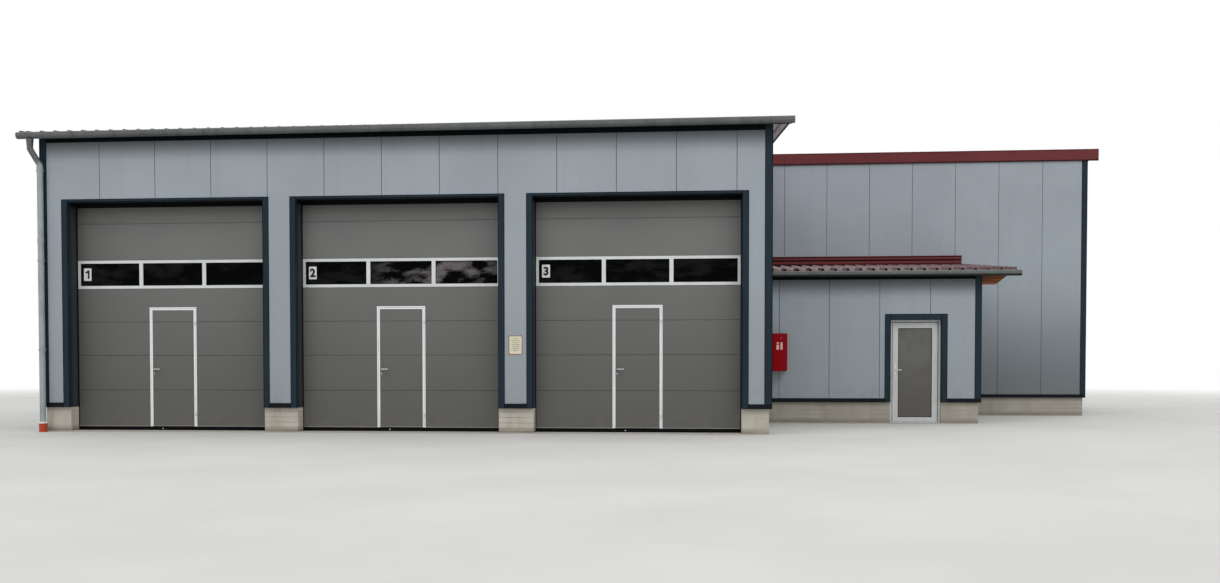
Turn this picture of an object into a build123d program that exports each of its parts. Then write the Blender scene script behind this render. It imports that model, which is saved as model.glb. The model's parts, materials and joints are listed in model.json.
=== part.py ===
from build123d import *
import math
import os

# Garage complex: three-gate hall, rear hall behind it to the right and a lean-to annex
# in front of the rear hall. Millimetres. +X runs to the right along the front, -Y looks
# out of the front, +Z is up. The origin is the centre of the front hall's footprint on
# the ground, under its ridge.

# Plan
HALL_WIDTH = 12670
HALL_DEPTH = 16000
REAR_WIDTH = 7875
ANNEX_WIDTH = 4430
ANNEX_DEPTH = 4000

# Ground, floor and plinth
FLOOR_TOP = 20
SLAB_JOINT = 10
PLINTH_TOP = 430
PLINTH_SETBACK = 45
PLINTH_THICKNESS = 230

# Sandwich panel walls
WALL = 100
PANEL_MODULE = 1000
JOINT_WIDTH = 10
JOINT_DEPTH = 6
HALL_FIRST_JOINT = 1085
REAR_FIRST_JOINT = 858
ANNEX_FIRST_JOINT = 430

# Roofs of trapezoidal sheet
EAVE_UNDERSIDE = 5190
HALL_PITCH = 7.15
ANNEX_EAVE_UNDERSIDE = 3083
ANNEX_PITCH = 6.6
ROOF_SHEET = 5
RIB_PITCH = 250
RIB_HEIGHT = 45
RIB_BASE = 64
RIB_TOP = 30
EAVE_OVERHANG = 90
VERGE_OVERHANG = 300
REAR_VERGE = 240
ANNEX_EAVE_OVERHANG = 110
ANNEX_VERGE = 640
RIDGE_GAP = 2

# Ridge cap, fascia, verges and flashings
RIDGE_LEG = 200
VERGE_DROP = 25
VERGE_RISE = 8
FASCIA_THICKNESS = 30
FASCIA_DROP = 216
FLASHING_FOOT = 150
FLASHING_RISE = 200
FLASHING_FOLD = 95
FLASHING_STEP = 14
FLASHING_SETBACK = 60
SIDE_FLASHING_RISE = 150
EAVE_BOARD = 25
EAVE_BOARD_DROP = 80
ANNEX_BOARD_DROP = 130

# Folded sheet
SHEET = 4
BASE_TRIM_HEIGHT = 82
BASE_FOOT = 60
CORNER_LEG = 125
EAVE_TRIM = 125
ANNEX_EAVE_TRIM = 180
TRIM_JOINT = 2

# Gates
END_PIER = 495
MIDDLE_PIER = 590
GATE_WIDTH = (HALL_WIDTH - 2 * END_PIER - 2 * MIDDLE_PIER) / 3
GATE_PITCH = GATE_WIDTH + MIDDLE_PIER
GATE_TOP = 4000
GATE_TRIM_FACE = 110
GATE_HEAD_FACE = 50
GATE_REVEAL = 280
GATE_THICKNESS = 40
GATE_SIDE_LAP = 60
GATE_SEAL_TOP = 85
SECTION_TOPS = (725, 1335, 1925)
WINDOW_BOTTOM = 2515
WINDOW_TOP = 3010
UPPER_SECTION_TOP = 3655
GATE_LEAF_TOP = 4100
SECTION_GAP = 0.2
SECTION_CHAMFER = 8
WINDOW_RAIL = 50
WINDOW_STILE = 62
WINDOW_MULLION = 68
WINDOW_PROUD = 2
GLASS = 18
SEAL_HEAD_LIP = 63
SEAL_LIP = 15
SEAL_LAP = 30
RAIL = 50

# Wicket doors in the gates
WICKET_WIDTH = 850
WICKET_TOP = 2182
WICKET_FRAME = 20
WICKET_PROUD = 5
WICKET_EDGE = 24
LEAF_CLEARANCE = 5.5

# Annex door
DOOR_CENTRE_FROM_HALL = 3152
DOOR_WIDTH = 1000
DOOR_TOP = 2090
DOOR_TRIM_FACE = 118
DOOR_FRAME = 50
DOOR_FRAME_DEPTH = 70
DOOR_FRAME_PROJECTION = 60
DOOR_STILE = 108
DOOR_BOTTOM_RAIL = 90
DOOR_LEAF = 60
DOOR_INFILL = 30
THRESHOLD = 12

# Lift-off hinges, two to a door, whose hidden pins and bores have flat sides
KNUCKLE_RADIUS = 8
KNUCKLE_LENGTH = 50
PIN_RADIUS = 4
PIN_CLEARANCE = 0.05
PIN_DEPTH = 2
PIN_SIDES = 8
KNUCKLE_GAP = 0.2
HINGE_MARGIN = 180
HINGE_PLATE = 4
HINGE_PLATE_WIDTH = 22
HINGE_STANDOFF = 9

# Lever handles
LEVER_HEIGHT = 1095
DOOR_LEVER_HEIGHT = 1083
LEVER_PLATE_WIDTH = 34
LEVER_PLATE_HEIGHT = 236
LEVER_PLATE_THICKNESS = 6
LEVER_PLATE_MARGIN = 12
LEVER_NECK_RADIUS = 9
LEVER_NECK = 45
LEVER_LENGTH = 120
LEVER_GRIP = 20
LEVER_BEVEL = 5

# Timber frame
POST_WIDTH = 140
LINTEL_HEIGHT = 180
COLUMN = 200
GIRDER_BOTTOM = 4420
PURLIN_WIDTH = 100
PURLIN_DEPTH = 180
EAVE_PURLIN = 150
RIDGE_PURLIN = 160
PURLIN_SPACES = 4
ANNEX_PURLIN_WIDTH = 120
ANNEX_PURLIN_DEPTH = 300
ANNEX_PURLIN_OVERHANG = 565
NOSE_LENGTH = 266
NOSE_RISE = 213

# Rainwater goods
GUTTER_WIDTH = 120
GUTTER_HEIGHT = 90
GUTTER_SHEET = 3
GUTTER_RISE = 5
GUTTER_FALL = 30
HALL_GUTTER_OVERRUN = 45
ANNEX_GUTTER_DROP = 48
ANNEX_GUTTER_OVERRUN = 77
OUTLET_FROM_CORNER = -75
FUNNEL_RADIUS = 62
FUNNEL_RISE = 20
FUNNEL_LENGTH = 130
PIPE_RADIUS = 50
PIPE_FROM_WALL = 75
PIPE_FROM_CORNER = 52
NECK_DROP = 170
NECK_LENGTH = 270
PIPE_END = 110
STANDPIPE_RADIUS = 66
STANDPIPE_TOP = 150
CLIP_WIDTH = 30
CLIP_HEIGHT = 30
CLIP_FIRST = 1420
CLIP_PITCH = 1550
CLIP_COUNT = 3

# Fittings on the walls
CABINET_WIDTH = 350
CABINET_DEPTH = 250
CABINET_HEIGHT = 757
CABINET_BOTTOM = 1058
CABINET_FROM_HALL = 222
CABINET_TOP_CORNER = 12
CABINET_BOTTOM_CORNER = 38
NOTICE_WIDTH = 230
NOTICE_HEIGHT = 320
NOTICE_BOTTOM = 1340
NOTICE_THICKNESS = 3

# Derived places
LEFT = -HALL_WIDTH / 2
RIGHT = HALL_WIDTH / 2
FRONT = -HALL_DEPTH / 2
BACK = HALL_DEPTH / 2
REAR_RIGHT = RIGHT + REAR_WIDTH
ANNEX_RIGHT = RIGHT + ANNEX_WIDTH
ANNEX_FRONT = -ANNEX_DEPTH
GATE_CENTRES = (-GATE_PITCH, 0, GATE_PITCH)
HALF_GATE = GATE_WIDTH / 2
PLINTH_BACK = PLINTH_SETBACK + PLINTH_THICKNESS
PANEL_BOTTOM = PLINTH_TOP + SHEET
BASE_TRIM_TOP = PLINTH_TOP + BASE_TRIM_HEIGHT
HEADER_BOTTOM = GATE_TOP + SHEET
LEAF_FRONT = FRONT + GATE_REVEAL
LEAF_BACK = LEAF_FRONT + GATE_THICKNESS
HALL_SLOPE = math.tan(math.radians(HALL_PITCH))
ANNEX_SLOPE = math.tan(math.radians(ANNEX_PITCH))
RIB_LINE = ROOF_SHEET + RIB_HEIGHT
DOOR_CENTRE = RIGHT + DOOR_CENTRE_FROM_HALL
HALF_DOOR = DOOR_WIDTH / 2


def hall_under(y):
    """Height of the hall roof's underside at the depth y."""
    return EAVE_UNDERSIDE + (HALL_DEPTH / 2 - abs(y)) * HALL_SLOPE


def annex_under(y):
    """Height of the annex roof's underside at the depth y."""
    return ANNEX_EAVE_UNDERSIDE + (y - ANNEX_FRONT) * ANNEX_SLOPE


def block(x0, x1, y0, y1, z0, z1):
    """A box between two corners."""
    return Pos((x0 + x1) / 2, (y0 + y1) / 2, (z0 + z1) / 2) * Box(x1 - x0, y1 - y0, z1 - z0)


def prism_x(points, x0, x1):
    """A (y, z) outline drawn out along X."""
    face = make_face(Polyline(*points, close=True))
    return extrude(Plane.YZ.offset(x0) * face, amount=x1 - x0)


def prism_y(points, y0, y1):
    """An (x, z) outline drawn out along Y."""
    face = make_face(Polyline(*[(x, y0, z) for x, z in points], close=True))
    return extrude(face, amount=y1 - y0, dir=(0, 1, 0))


def sloped_bar(under, y0, y1, low, high, x0, x1):
    """A bar along X whose top and bottom follow a roof, offset from its underside."""
    return prism_x([(y0, under(y0) + low), (y1, under(y1) + low),
                    (y1, under(y1) + high), (y0, under(y0) + high)], x0, x1)


def joints_x(wall, first, last, face_y, outward, z0, z1):
    """Cut the upright panel joints into a wall that runs along X."""
    x = first
    while x < last:
        y0, y1 = sorted((face_y + outward * 5, face_y - outward * JOINT_DEPTH))
        wall -= block(x - JOINT_WIDTH / 2, x + JOINT_WIDTH / 2, y0, y1, z0, z1)
        x += PANEL_MODULE
    return wall


def joints_y(wall, first, last, face_x, outward, z0, z1):
    """Cut the upright panel joints into a wall that runs along Y."""
    y = first
    while y < last:
        x0, x1 = sorted((face_x + outward * 5, face_x - outward * JOINT_DEPTH))
        wall -= block(x0, x1, y - JOINT_WIDTH / 2, y + JOINT_WIDTH / 2, z0, z1)
        y += PANEL_MODULE
    return wall


NODES = {}


def add(name, *shapes):
    """Keep solids under the name of the node they belong to."""
    NODES.setdefault(name, []).extend(shapes)


# Floor slabs, with a movement joint between neighbours
HALL_SLAB_RIGHT = RIGHT - PLINTH_SETBACK
add("floor_slabs",
    block(LEFT + PLINTH_SETBACK, HALL_SLAB_RIGHT, FRONT + PLINTH_SETBACK,
          BACK - PLINTH_SETBACK, 0, FLOOR_TOP),
    block(HALL_SLAB_RIGHT + SLAB_JOINT, REAR_RIGHT - PLINTH_SETBACK, PLINTH_SETBACK,
          BACK - PLINTH_SETBACK, 0, FLOOR_TOP),
    block(HALL_SLAB_RIGHT + SLAB_JOINT, ANNEX_RIGHT - PLINTH_SETBACK, ANNEX_FRONT + PLINTH_SETBACK,
          PLINTH_SETBACK - SLAB_JOINT, 0, FLOOR_TOP))

# Plinths
gate_edges = [LEFT + PLINTH_SETBACK]
for centre in GATE_CENTRES:
    gate_edges += [centre - HALF_GATE, centre + HALF_GATE]
gate_edges.append(RIGHT - PLINTH_SETBACK)
for x0, x1 in zip(gate_edges[0::2], gate_edges[1::2]):
    add("plinths", block(x0, x1, FRONT + PLINTH_SETBACK, FRONT + PLINTH_BACK, FLOOR_TOP, PLINTH_TOP))
add("plinths",
    block(RIGHT - PLINTH_SETBACK, REAR_RIGHT - PLINTH_SETBACK, PLINTH_SETBACK, PLINTH_BACK,
          FLOOR_TOP, PLINTH_TOP),
    block(RIGHT - PLINTH_SETBACK, DOOR_CENTRE - HALF_DOOR, ANNEX_FRONT + PLINTH_SETBACK,
          ANNEX_FRONT + PLINTH_BACK, FLOOR_TOP, PLINTH_TOP),
    block(DOOR_CENTRE + HALF_DOOR, ANNEX_RIGHT - PLINTH_SETBACK, ANNEX_FRONT + PLINTH_SETBACK,
          ANNEX_FRONT + PLINTH_BACK, FLOOR_TOP, PLINTH_TOP),
    block(LEFT + PLINTH_SETBACK, LEFT + PLINTH_BACK, FRONT + PLINTH_BACK, BACK - PLINTH_BACK,
          FLOOR_TOP, PLINTH_TOP),
    block(RIGHT - PLINTH_BACK, RIGHT - PLINTH_SETBACK, FRONT + PLINTH_BACK, PLINTH_BACK,
          FLOOR_TOP, PLINTH_TOP),
    block(REAR_RIGHT - PLINTH_BACK, REAR_RIGHT - PLINTH_SETBACK, PLINTH_BACK, BACK - PLINTH_BACK,
          FLOOR_TOP, PLINTH_TOP),
    block(ANNEX_RIGHT - PLINTH_BACK, ANNEX_RIGHT - PLINTH_SETBACK, ANNEX_FRONT + PLINTH_BACK,
          PLINTH_SETBACK, FLOOR_TOP, PLINTH_TOP),
    block(LEFT + PLINTH_SETBACK, REAR_RIGHT - PLINTH_SETBACK, BACK - PLINTH_BACK,
          BACK - PLINTH_SETBACK, FLOOR_TOP, PLINTH_TOP))

# Hall front: piers beside the gates and one header band over them
pier_edges = [LEFT]
for centre in GATE_CENTRES:
    pier_edges += [centre - HALF_GATE - SHEET, centre + HALF_GATE + SHEET]
pier_edges.append(RIGHT)
for x0, x1 in zip(pier_edges[0::2], pier_edges[1::2]):
    add("front_walls", block(x0, x1, FRONT, FRONT + WALL, PANEL_BOTTOM, HEADER_BOTTOM))
header = prism_x([(FRONT, HEADER_BOTTOM), (FRONT + WALL, HEADER_BOTTOM),
                  (FRONT + WALL, hall_under(FRONT + WALL)), (FRONT, hall_under(FRONT))], LEFT, RIGHT)
add("headers",
    joints_x(header, LEFT + HALL_FIRST_JOINT, RIGHT, FRONT, -1, GATE_TOP, hall_under(0)))

# Gable and side walls stand between the front and back walls
gable = prism_x([(FRONT + WALL, PANEL_BOTTOM), (BACK - WALL, PANEL_BOTTOM),
                 (BACK - WALL, hall_under(BACK - WALL)), (0, hall_under(0)),
                 (FRONT + WALL, hall_under(FRONT + WALL))], LEFT, LEFT + WALL)
add("side_walls", joints_y(gable, FRONT + PANEL_MODULE, BACK - WALL, LEFT, -1, 0, hall_under(0) + 10))
half_gable = prism_x([(FRONT + WALL, PANEL_BOTTOM), (WALL, PANEL_BOTTOM), (WALL, hall_under(WALL)),
                      (0, hall_under(0)), (FRONT + WALL, hall_under(FRONT + WALL))], RIGHT - WALL, RIGHT)
add("side_walls", joints_y(half_gable, FRONT + PANEL_MODULE, -1, RIGHT, 1, 0, hall_under(0) + 10))
rear_gable = prism_x([(WALL, PANEL_BOTTOM), (BACK - WALL, PANEL_BOTTOM),
                      (BACK - WALL, hall_under(BACK - WALL)), (WALL, hall_under(WALL))],
                     REAR_RIGHT - WALL, REAR_RIGHT)
add("side_walls", joints_y(rear_gable, PANEL_MODULE, BACK - WALL, REAR_RIGHT, 1, 0, hall_under(0)))
back = prism_x([(BACK - WALL, PANEL_BOTTOM), (BACK, PANEL_BOTTOM), (BACK, hall_under(BACK)),
                (BACK - WALL, hall_under(BACK - WALL))], LEFT, REAR_RIGHT)
add("back_wall", joints_x(back, LEFT + HALL_FIRST_JOINT, REAR_RIGHT, BACK, 1, 0, hall_under(0)))
rear_front = prism_x([(0, PANEL_BOTTOM), (WALL, PANEL_BOTTOM), (WALL, hall_under(WALL)),
                      (0, hall_under(0))], RIGHT, REAR_RIGHT)
add("front_walls",
    joints_x(rear_front, RIGHT + REAR_FIRST_JOINT, REAR_RIGHT, 0, -1, 0, hall_under(0) + 10))


# Annex walls, the front one split beside and over its door
def annex_front(x0, x1, z0):
    """One part of the annex front wall, up to the roof."""
    part = prism_x([(ANNEX_FRONT, z0), (ANNEX_FRONT + WALL, z0),
                    (ANNEX_FRONT + WALL, annex_under(ANNEX_FRONT + WALL)),
                    (ANNEX_FRONT, annex_under(ANNEX_FRONT))], x0, x1)
    first = RIGHT + ANNEX_FIRST_JOINT
    while first < x0 + JOINT_WIDTH:
        first += PANEL_MODULE
    return joints_x(part, first, x1, ANNEX_FRONT, -1, 0, ANNEX_EAVE_UNDERSIDE * 2)


door_left = DOOR_CENTRE - HALF_DOOR - SHEET
door_right = DOOR_CENTRE + HALF_DOOR + SHEET
add("front_walls", annex_front(RIGHT, door_left, PANEL_BOTTOM),
    annex_front(door_right, ANNEX_RIGHT, PANEL_BOTTOM))
add("headers", annex_front(door_left, door_right, DOOR_TOP + SHEET))

annex_purlin_rows = (ANNEX_FRONT + WALL, ANNEX_FRONT / 2 - ANNEX_PURLIN_WIDTH / 2, -ANNEX_PURLIN_WIDTH)
annex_side = prism_x([(ANNEX_FRONT + WALL, PANEL_BOTTOM), (0, PANEL_BOTTOM), (0, annex_under(0)),
                      (ANNEX_FRONT + WALL, annex_under(ANNEX_FRONT + WALL))],
                     ANNEX_RIGHT - WALL, ANNEX_RIGHT)
annex_side = joints_y(annex_side, ANNEX_FRONT + PANEL_MODULE, -1, ANNEX_RIGHT, 1, 0, annex_under(0))
for y in annex_purlin_rows:
    annex_side -= sloped_bar(annex_under, y, y + ANNEX_PURLIN_WIDTH, -ANNEX_PURLIN_DEPTH, 10,
                             ANNEX_RIGHT - WALL - 10, ANNEX_RIGHT + 10)
add("side_walls", annex_side)


# Ribbed roof sheets, whose ribs are solid
def ribbed_roof(x0, x1, y_low, y_high, z_low, pitch):
    """A sheet with trapezoidal ribs down the slope, from its low edge to its high edge."""
    count = int((x1 - x0 - RIB_BASE) // RIB_PITCH)
    last = (x0 + x1 + count * RIB_PITCH) / 2
    outline = [(x0, 0), (x1, 0), (x1, ROOF_SHEET)]
    for number in range(count + 1):
        middle = last - number * RIB_PITCH
        outline += [(middle + RIB_BASE / 2, ROOF_SHEET), (middle + RIB_TOP / 2, RIB_LINE),
                    (middle - RIB_TOP / 2, RIB_LINE), (middle - RIB_BASE / 2, ROOF_SHEET)]
    outline.append((x0, ROOF_SHEET))
    wire = Polyline(*[(x, y_low, z_low + z) for x, z in outline], close=True)
    angle = math.radians(pitch)
    run = y_high - y_low
    direction = (0, math.copysign(math.cos(angle), run), math.sin(angle))
    return extrude(make_face(wire), amount=abs(run) / math.cos(angle), dir=direction)


ROOF_LEFT = LEFT - VERGE_OVERHANG
ROOF_RIGHT = RIGHT + VERGE_OVERHANG
REAR_ROOF_RIGHT = REAR_RIGHT + REAR_VERGE
ANNEX_ROOF_RIGHT = ANNEX_RIGHT + ANNEX_VERGE
EAVE_Y = FRONT - EAVE_OVERHANG
ANNEX_EAVE_Y = ANNEX_FRONT - ANNEX_EAVE_OVERHANG
eave_z = EAVE_UNDERSIDE - EAVE_OVERHANG * HALL_SLOPE
annex_eave_z = ANNEX_EAVE_UNDERSIDE - ANNEX_EAVE_OVERHANG * ANNEX_SLOPE
add("hall_roof_front",
    ribbed_roof(ROOF_LEFT, ROOF_RIGHT, EAVE_Y, -RIDGE_GAP / 2, eave_z, HALL_PITCH))
add("hall_roof_back",
    ribbed_roof(ROOF_LEFT, REAR_ROOF_RIGHT, -EAVE_Y, RIDGE_GAP / 2, eave_z, HALL_PITCH))
add("annex_roof",
    ribbed_roof(RIGHT, ANNEX_ROOF_RIGHT, ANNEX_EAVE_Y, 0, annex_eave_z, ANNEX_PITCH))

# Ridge cap, high edge of the rear hall, verges and flashings
peak = hall_under(0) + RIB_LINE
add("ridge_and_verge_trims",
    prism_x([(-RIDGE_LEG, hall_under(RIDGE_LEG) + RIB_LINE), (0, peak),
             (RIDGE_LEG, hall_under(RIDGE_LEG) + RIB_LINE),
             (RIDGE_LEG, hall_under(RIDGE_LEG) + RIB_LINE + SHEET), (0, peak + SHEET),
             (-RIDGE_LEG, hall_under(RIDGE_LEG) + RIB_LINE + SHEET)],
            ROOF_LEFT + TRIM_JOINT, ROOF_RIGHT - TRIM_JOINT))
add("rear_fascia",
    prism_x([(-FASCIA_THICKNESS, hall_under(0) - FASCIA_DROP), (0, hall_under(0) - FASCIA_DROP), (0, peak),
             (RIDGE_LEG, hall_under(RIDGE_LEG) + RIB_LINE),
             (RIDGE_LEG, hall_under(RIDGE_LEG) + RIB_LINE + SHEET), (0, peak + SHEET),
             (-FASCIA_THICKNESS, peak + SHEET)],
            ROOF_RIGHT + SHEET + TRIM_JOINT, REAR_ROOF_RIGHT))


def verge(x0, y0, y1):
    """A verge board on the sloping edge of the hall roof."""
    return sloped_bar(hall_under, y0, y1, -VERGE_DROP, RIB_LINE + VERGE_RISE, x0, x0 + SHEET)


add("ridge_and_verge_trims",
    verge(ROOF_LEFT - SHEET, EAVE_Y, -TRIM_JOINT / 2),
    verge(ROOF_LEFT - SHEET, TRIM_JOINT / 2, -EAVE_Y),
    verge(ROOF_RIGHT, EAVE_Y, -TRIM_JOINT / 2),
    verge(REAR_ROOF_RIGHT, 0, -EAVE_Y),
    sloped_bar(annex_under, ANNEX_EAVE_Y, 0, 0, RIB_LINE, ANNEX_ROOF_RIGHT, ANNEX_ROOF_RIGHT + SHEET))

foot_low = annex_under(-FLASHING_FOOT) + RIB_LINE
foot_high = annex_under(0) + RIB_LINE
flashing_top = foot_high + FLASHING_RISE
fold = flashing_top - FLASHING_FOLD
add("annex_flashing",
    prism_x([(-FLASHING_FOOT, foot_low), (0, foot_high), (0, flashing_top), (-FLASHING_STEP, flashing_top),
             (-FLASHING_STEP, fold), (-SHEET, fold), (-SHEET, foot_high + SHEET),
             (-FLASHING_FOOT, foot_low + SHEET)],
            RIGHT + SHEET + TRIM_JOINT, ANNEX_ROOF_RIGHT - FLASHING_SETBACK),
    sloped_bar(annex_under, ANNEX_EAVE_Y, -FLASHING_STEP, RIB_LINE, RIB_LINE + SIDE_FLASHING_RISE,
               RIGHT, RIGHT + SHEET))


# Eave boards that the gutters hang on
def eave_board(x0, x1, y, outward, under, bottom):
    """A board under the sheet's low edge; outward is -1 towards the front and +1 towards the back."""
    inner = y - outward * EAVE_BOARD
    return prism_x([(y, bottom), (inner, bottom), (inner, under(inner)), (y, under(y))], x0, x1)


board_bottom = EAVE_UNDERSIDE - EAVE_BOARD_DROP
annex_board_bottom = ANNEX_EAVE_UNDERSIDE - ANNEX_BOARD_DROP
add("eave_boards",
    eave_board(ROOF_LEFT, ROOF_RIGHT, EAVE_Y, -1, hall_under, board_bottom),
    eave_board(ROOF_LEFT, REAR_ROOF_RIGHT, -EAVE_Y, 1, hall_under, board_bottom),
    eave_board(RIGHT, ANNEX_ROOF_RIGHT, ANNEX_EAVE_Y, -1, annex_under, annex_board_bottom))

# Timber frame: posts and lintels of the gates, columns, girders and purlins
POST_FRONT = FRONT + WALL
POST_BACK = FRONT + PLINTH_BACK
for centre in GATE_CENTRES:
    inner = HALF_GATE + SHEET
    for side in (-1, 1):
        x0, x1 = sorted((centre + side * inner, centre + side * (inner + POST_WIDTH)))
        add("posts", prism_x([(POST_FRONT, PLINTH_TOP), (POST_BACK, PLINTH_TOP),
                              (POST_BACK, hall_under(POST_BACK) - PURLIN_DEPTH),
                              (POST_FRONT, hall_under(POST_FRONT) - PURLIN_DEPTH)], x0, x1))
    add("beams", block(centre - inner, centre + inner, POST_FRONT, POST_BACK, HEADER_BOTTOM,
                       HEADER_BOTTOM + LINTEL_HEIGHT))

COLUMN_FRONT = FRONT + PLINTH_BACK
COLUMN_BACK = BACK - PLINTH_BACK


def girder(x0, y0, y1):
    """A girder with a level soffit and a top that follows the roof, under the purlins."""
    top = [(y, hall_under(y) - PURLIN_DEPTH) for y in ((y1, 0, y0) if y0 < 0 else (y1, y0))]
    return prism_x([(y0, GIRDER_BOTTOM), (y1, GIRDER_BOTTOM)] + top, x0, x0 + COLUMN)


girder_lines = [(-GATE_PITCH / 2 - COLUMN / 2, COLUMN_FRONT), (GATE_PITCH / 2 - COLUMN / 2, COLUMN_FRONT),
                (RIGHT - PLINTH_BACK - COLUMN, 0), (RIGHT + REAR_WIDTH / 2 - COLUMN / 2, PLINTH_BACK)]
for x0, y0 in girder_lines:
    add("posts", block(x0, x0 + COLUMN, y0, y0 + COLUMN, FLOOR_TOP, GIRDER_BOTTOM),
        block(x0, x0 + COLUMN, COLUMN_BACK - COLUMN, COLUMN_BACK, FLOOR_TOP, GIRDER_BOTTOM))
    add("beams", girder(x0, y0, COLUMN_BACK))

purlins = []
purlin_step = (HALL_DEPTH / 2 - EAVE_PURLIN - RIDGE_PURLIN) / PURLIN_SPACES
for row in range(PURLIN_SPACES + 1):
    y = FRONT + EAVE_PURLIN + row * purlin_step
    purlins.append(sloped_bar(hall_under, y - PURLIN_WIDTH / 2, y + PURLIN_WIDTH / 2, -PURLIN_DEPTH, 0,
                              LEFT + WALL, RIGHT - WALL))
    purlins.append(sloped_bar(hall_under, -y - PURLIN_WIDTH / 2, -y + PURLIN_WIDTH / 2, -PURLIN_DEPTH, 0,
                              LEFT + WALL, REAR_RIGHT - WALL))
add("hall_purlins", *purlins)

purlin_end = ANNEX_RIGHT + ANNEX_PURLIN_OVERHANG
for y in annex_purlin_rows:
    bar = sloped_bar(annex_under, y, y + ANNEX_PURLIN_WIDTH, -ANNEX_PURLIN_DEPTH, 0, RIGHT, purlin_end)
    bottom = annex_under(y) - ANNEX_PURLIN_DEPTH
    bevel = prism_y([(purlin_end - NOSE_LENGTH, bottom), (purlin_end, bottom + NOSE_RISE),
                     (purlin_end + 1, bottom + NOSE_RISE), (purlin_end + 1, bottom - 1),
                     (purlin_end - NOSE_LENGTH, bottom - 1)], y - 1, y + ANNEX_PURLIN_WIDTH + 1)
    add("annex_purlins", bar - bevel)


# Trims of the openings: a face on the wall and a lining as deep as the wall
def opening_trim(centre, half, front, top, side_face, head_face):
    """The folded trim round one opening, from the plinth up."""
    lining = block(centre - half - SHEET, centre + half + SHEET, front, front + WALL,
                   PLINTH_TOP, top + SHEET)
    face = block(centre - half - side_face, centre + half + side_face, front - SHEET, front,
                 PLINTH_TOP, top + head_face)
    hole = block(centre - half, centre + half, front - SHEET - 1, front + WALL + 1, PLINTH_TOP - 1, top)
    return lining + face - hole


for centre in GATE_CENTRES:
    add("opening_trims", opening_trim(centre, HALF_GATE, FRONT, GATE_TOP, GATE_TRIM_FACE, GATE_HEAD_FACE))
door_outer = HALF_DOOR + DOOR_TRIM_FACE
DOOR_FRONT = ANNEX_FRONT + WALL + DOOR_FRAME_PROJECTION - DOOR_FRAME_DEPTH
DOOR_BACK = DOOR_FRONT + DOOR_FRAME_DEPTH
add("opening_trims",
    opening_trim(DOOR_CENTRE, HALF_DOOR, ANNEX_FRONT, DOOR_TOP, DOOR_TRIM_FACE, DOOR_TRIM_FACE))

# Black seals round the gates: a lining before the posts and a lip against the leaf
lip_front = LEAF_FRONT - WINDOW_PROUD
for centre in GATE_CENTRES:
    lining = (block(centre - HALF_GATE - SHEET, centre + HALF_GATE + SHEET, POST_FRONT, POST_BACK,
                    PLINTH_TOP, HEADER_BOTTOM)
              - block(centre - HALF_GATE, centre + HALF_GATE, POST_FRONT - 1, POST_BACK + 1,
                      PLINTH_TOP - 1, GATE_TOP))
    lip = (block(centre - HALF_GATE - SEAL_LAP, centre + HALF_GATE + SEAL_LAP, POST_BACK, lip_front,
                 FLOOR_TOP, GATE_TOP + SEAL_LAP)
           - block(centre - HALF_GATE + SEAL_LIP, centre + HALF_GATE - SEAL_LIP, POST_BACK - 1,
                   lip_front + 1, FLOOR_TOP - 1, GATE_TOP - SEAL_HEAD_LIP))
    add("gate_seals", lining + lip)


# Base trims: an upright face before the panel foot and a foot between panel and plinth
def base_x(x0, x1, face, outward):
    """A base trim along X; outward is -1 towards the front and +1 towards the back."""
    ys = sorted((face, face + outward * SHEET))
    foot = sorted((face, face - outward * BASE_FOOT))
    return (block(x0, x1, ys[0], ys[1], PLINTH_TOP, BASE_TRIM_TOP)
            + block(x0, x1, foot[0], foot[1], PLINTH_TOP, PANEL_BOTTOM))


def base_y(y0, y1, face, outward):
    """A base trim along Y; outward is -1 towards the left and +1 towards the right."""
    xs = sorted((face, face + outward * SHEET))
    foot = sorted((face, face - outward * BASE_FOOT))
    return (block(xs[0], xs[1], y0, y1, PLINTH_TOP, BASE_TRIM_TOP)
            + block(foot[0], foot[1], y0, y1, PLINTH_TOP, PANEL_BOTTOM))


trim_edges = [LEFT - SHEET]
for centre in GATE_CENTRES:
    trim_edges += [centre - HALF_GATE - GATE_TRIM_FACE, centre + HALF_GATE + GATE_TRIM_FACE]
trim_edges.append(RIGHT + SHEET)
for x0, x1 in zip(trim_edges[0::2], trim_edges[1::2]):
    add("base_trims", base_x(x0, x1, FRONT, -1))
side_start = FRONT + BASE_FOOT + TRIM_JOINT
side_end = BACK - BASE_FOOT - TRIM_JOINT
add("base_trims",
    base_y(side_start, side_end, LEFT, -1),
    base_y(side_start, ANNEX_FRONT - SHEET - TRIM_JOINT, RIGHT, 1),
    base_x(RIGHT + SHEET + TRIM_JOINT, DOOR_CENTRE - door_outer, ANNEX_FRONT, -1),
    base_x(DOOR_CENTRE + door_outer, ANNEX_RIGHT + SHEET, ANNEX_FRONT, -1),
    base_y(ANNEX_FRONT + BASE_FOOT + TRIM_JOINT, -SHEET - TRIM_JOINT, ANNEX_RIGHT, 1),
    base_x(ANNEX_RIGHT + SHEET + TRIM_JOINT, REAR_RIGHT + SHEET, 0, -1),
    base_y(BASE_FOOT + TRIM_JOINT, side_end, REAR_RIGHT, 1),
    base_x(LEFT - SHEET, REAR_RIGHT + SHEET, BACK, 1))


# Corner trims
def corner(x, y, to_x, to_y, top):
    """An angle over an outer corner; to_x and to_y point from the corner along the two walls."""
    xs = sorted((x - to_x * SHEET, x + to_x * CORNER_LEG))
    ys = sorted((y - to_y * SHEET, y + to_y * CORNER_LEG))
    inner_x = sorted((x, x + to_x * (CORNER_LEG + 1)))
    inner_y = sorted((y, y + to_y * (CORNER_LEG + 1)))
    return (block(xs[0], xs[1], ys[0], ys[1], BASE_TRIM_TOP, top)
            - block(inner_x[0], inner_x[1], inner_y[0], inner_y[1], BASE_TRIM_TOP - 1, top + 1))


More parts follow.
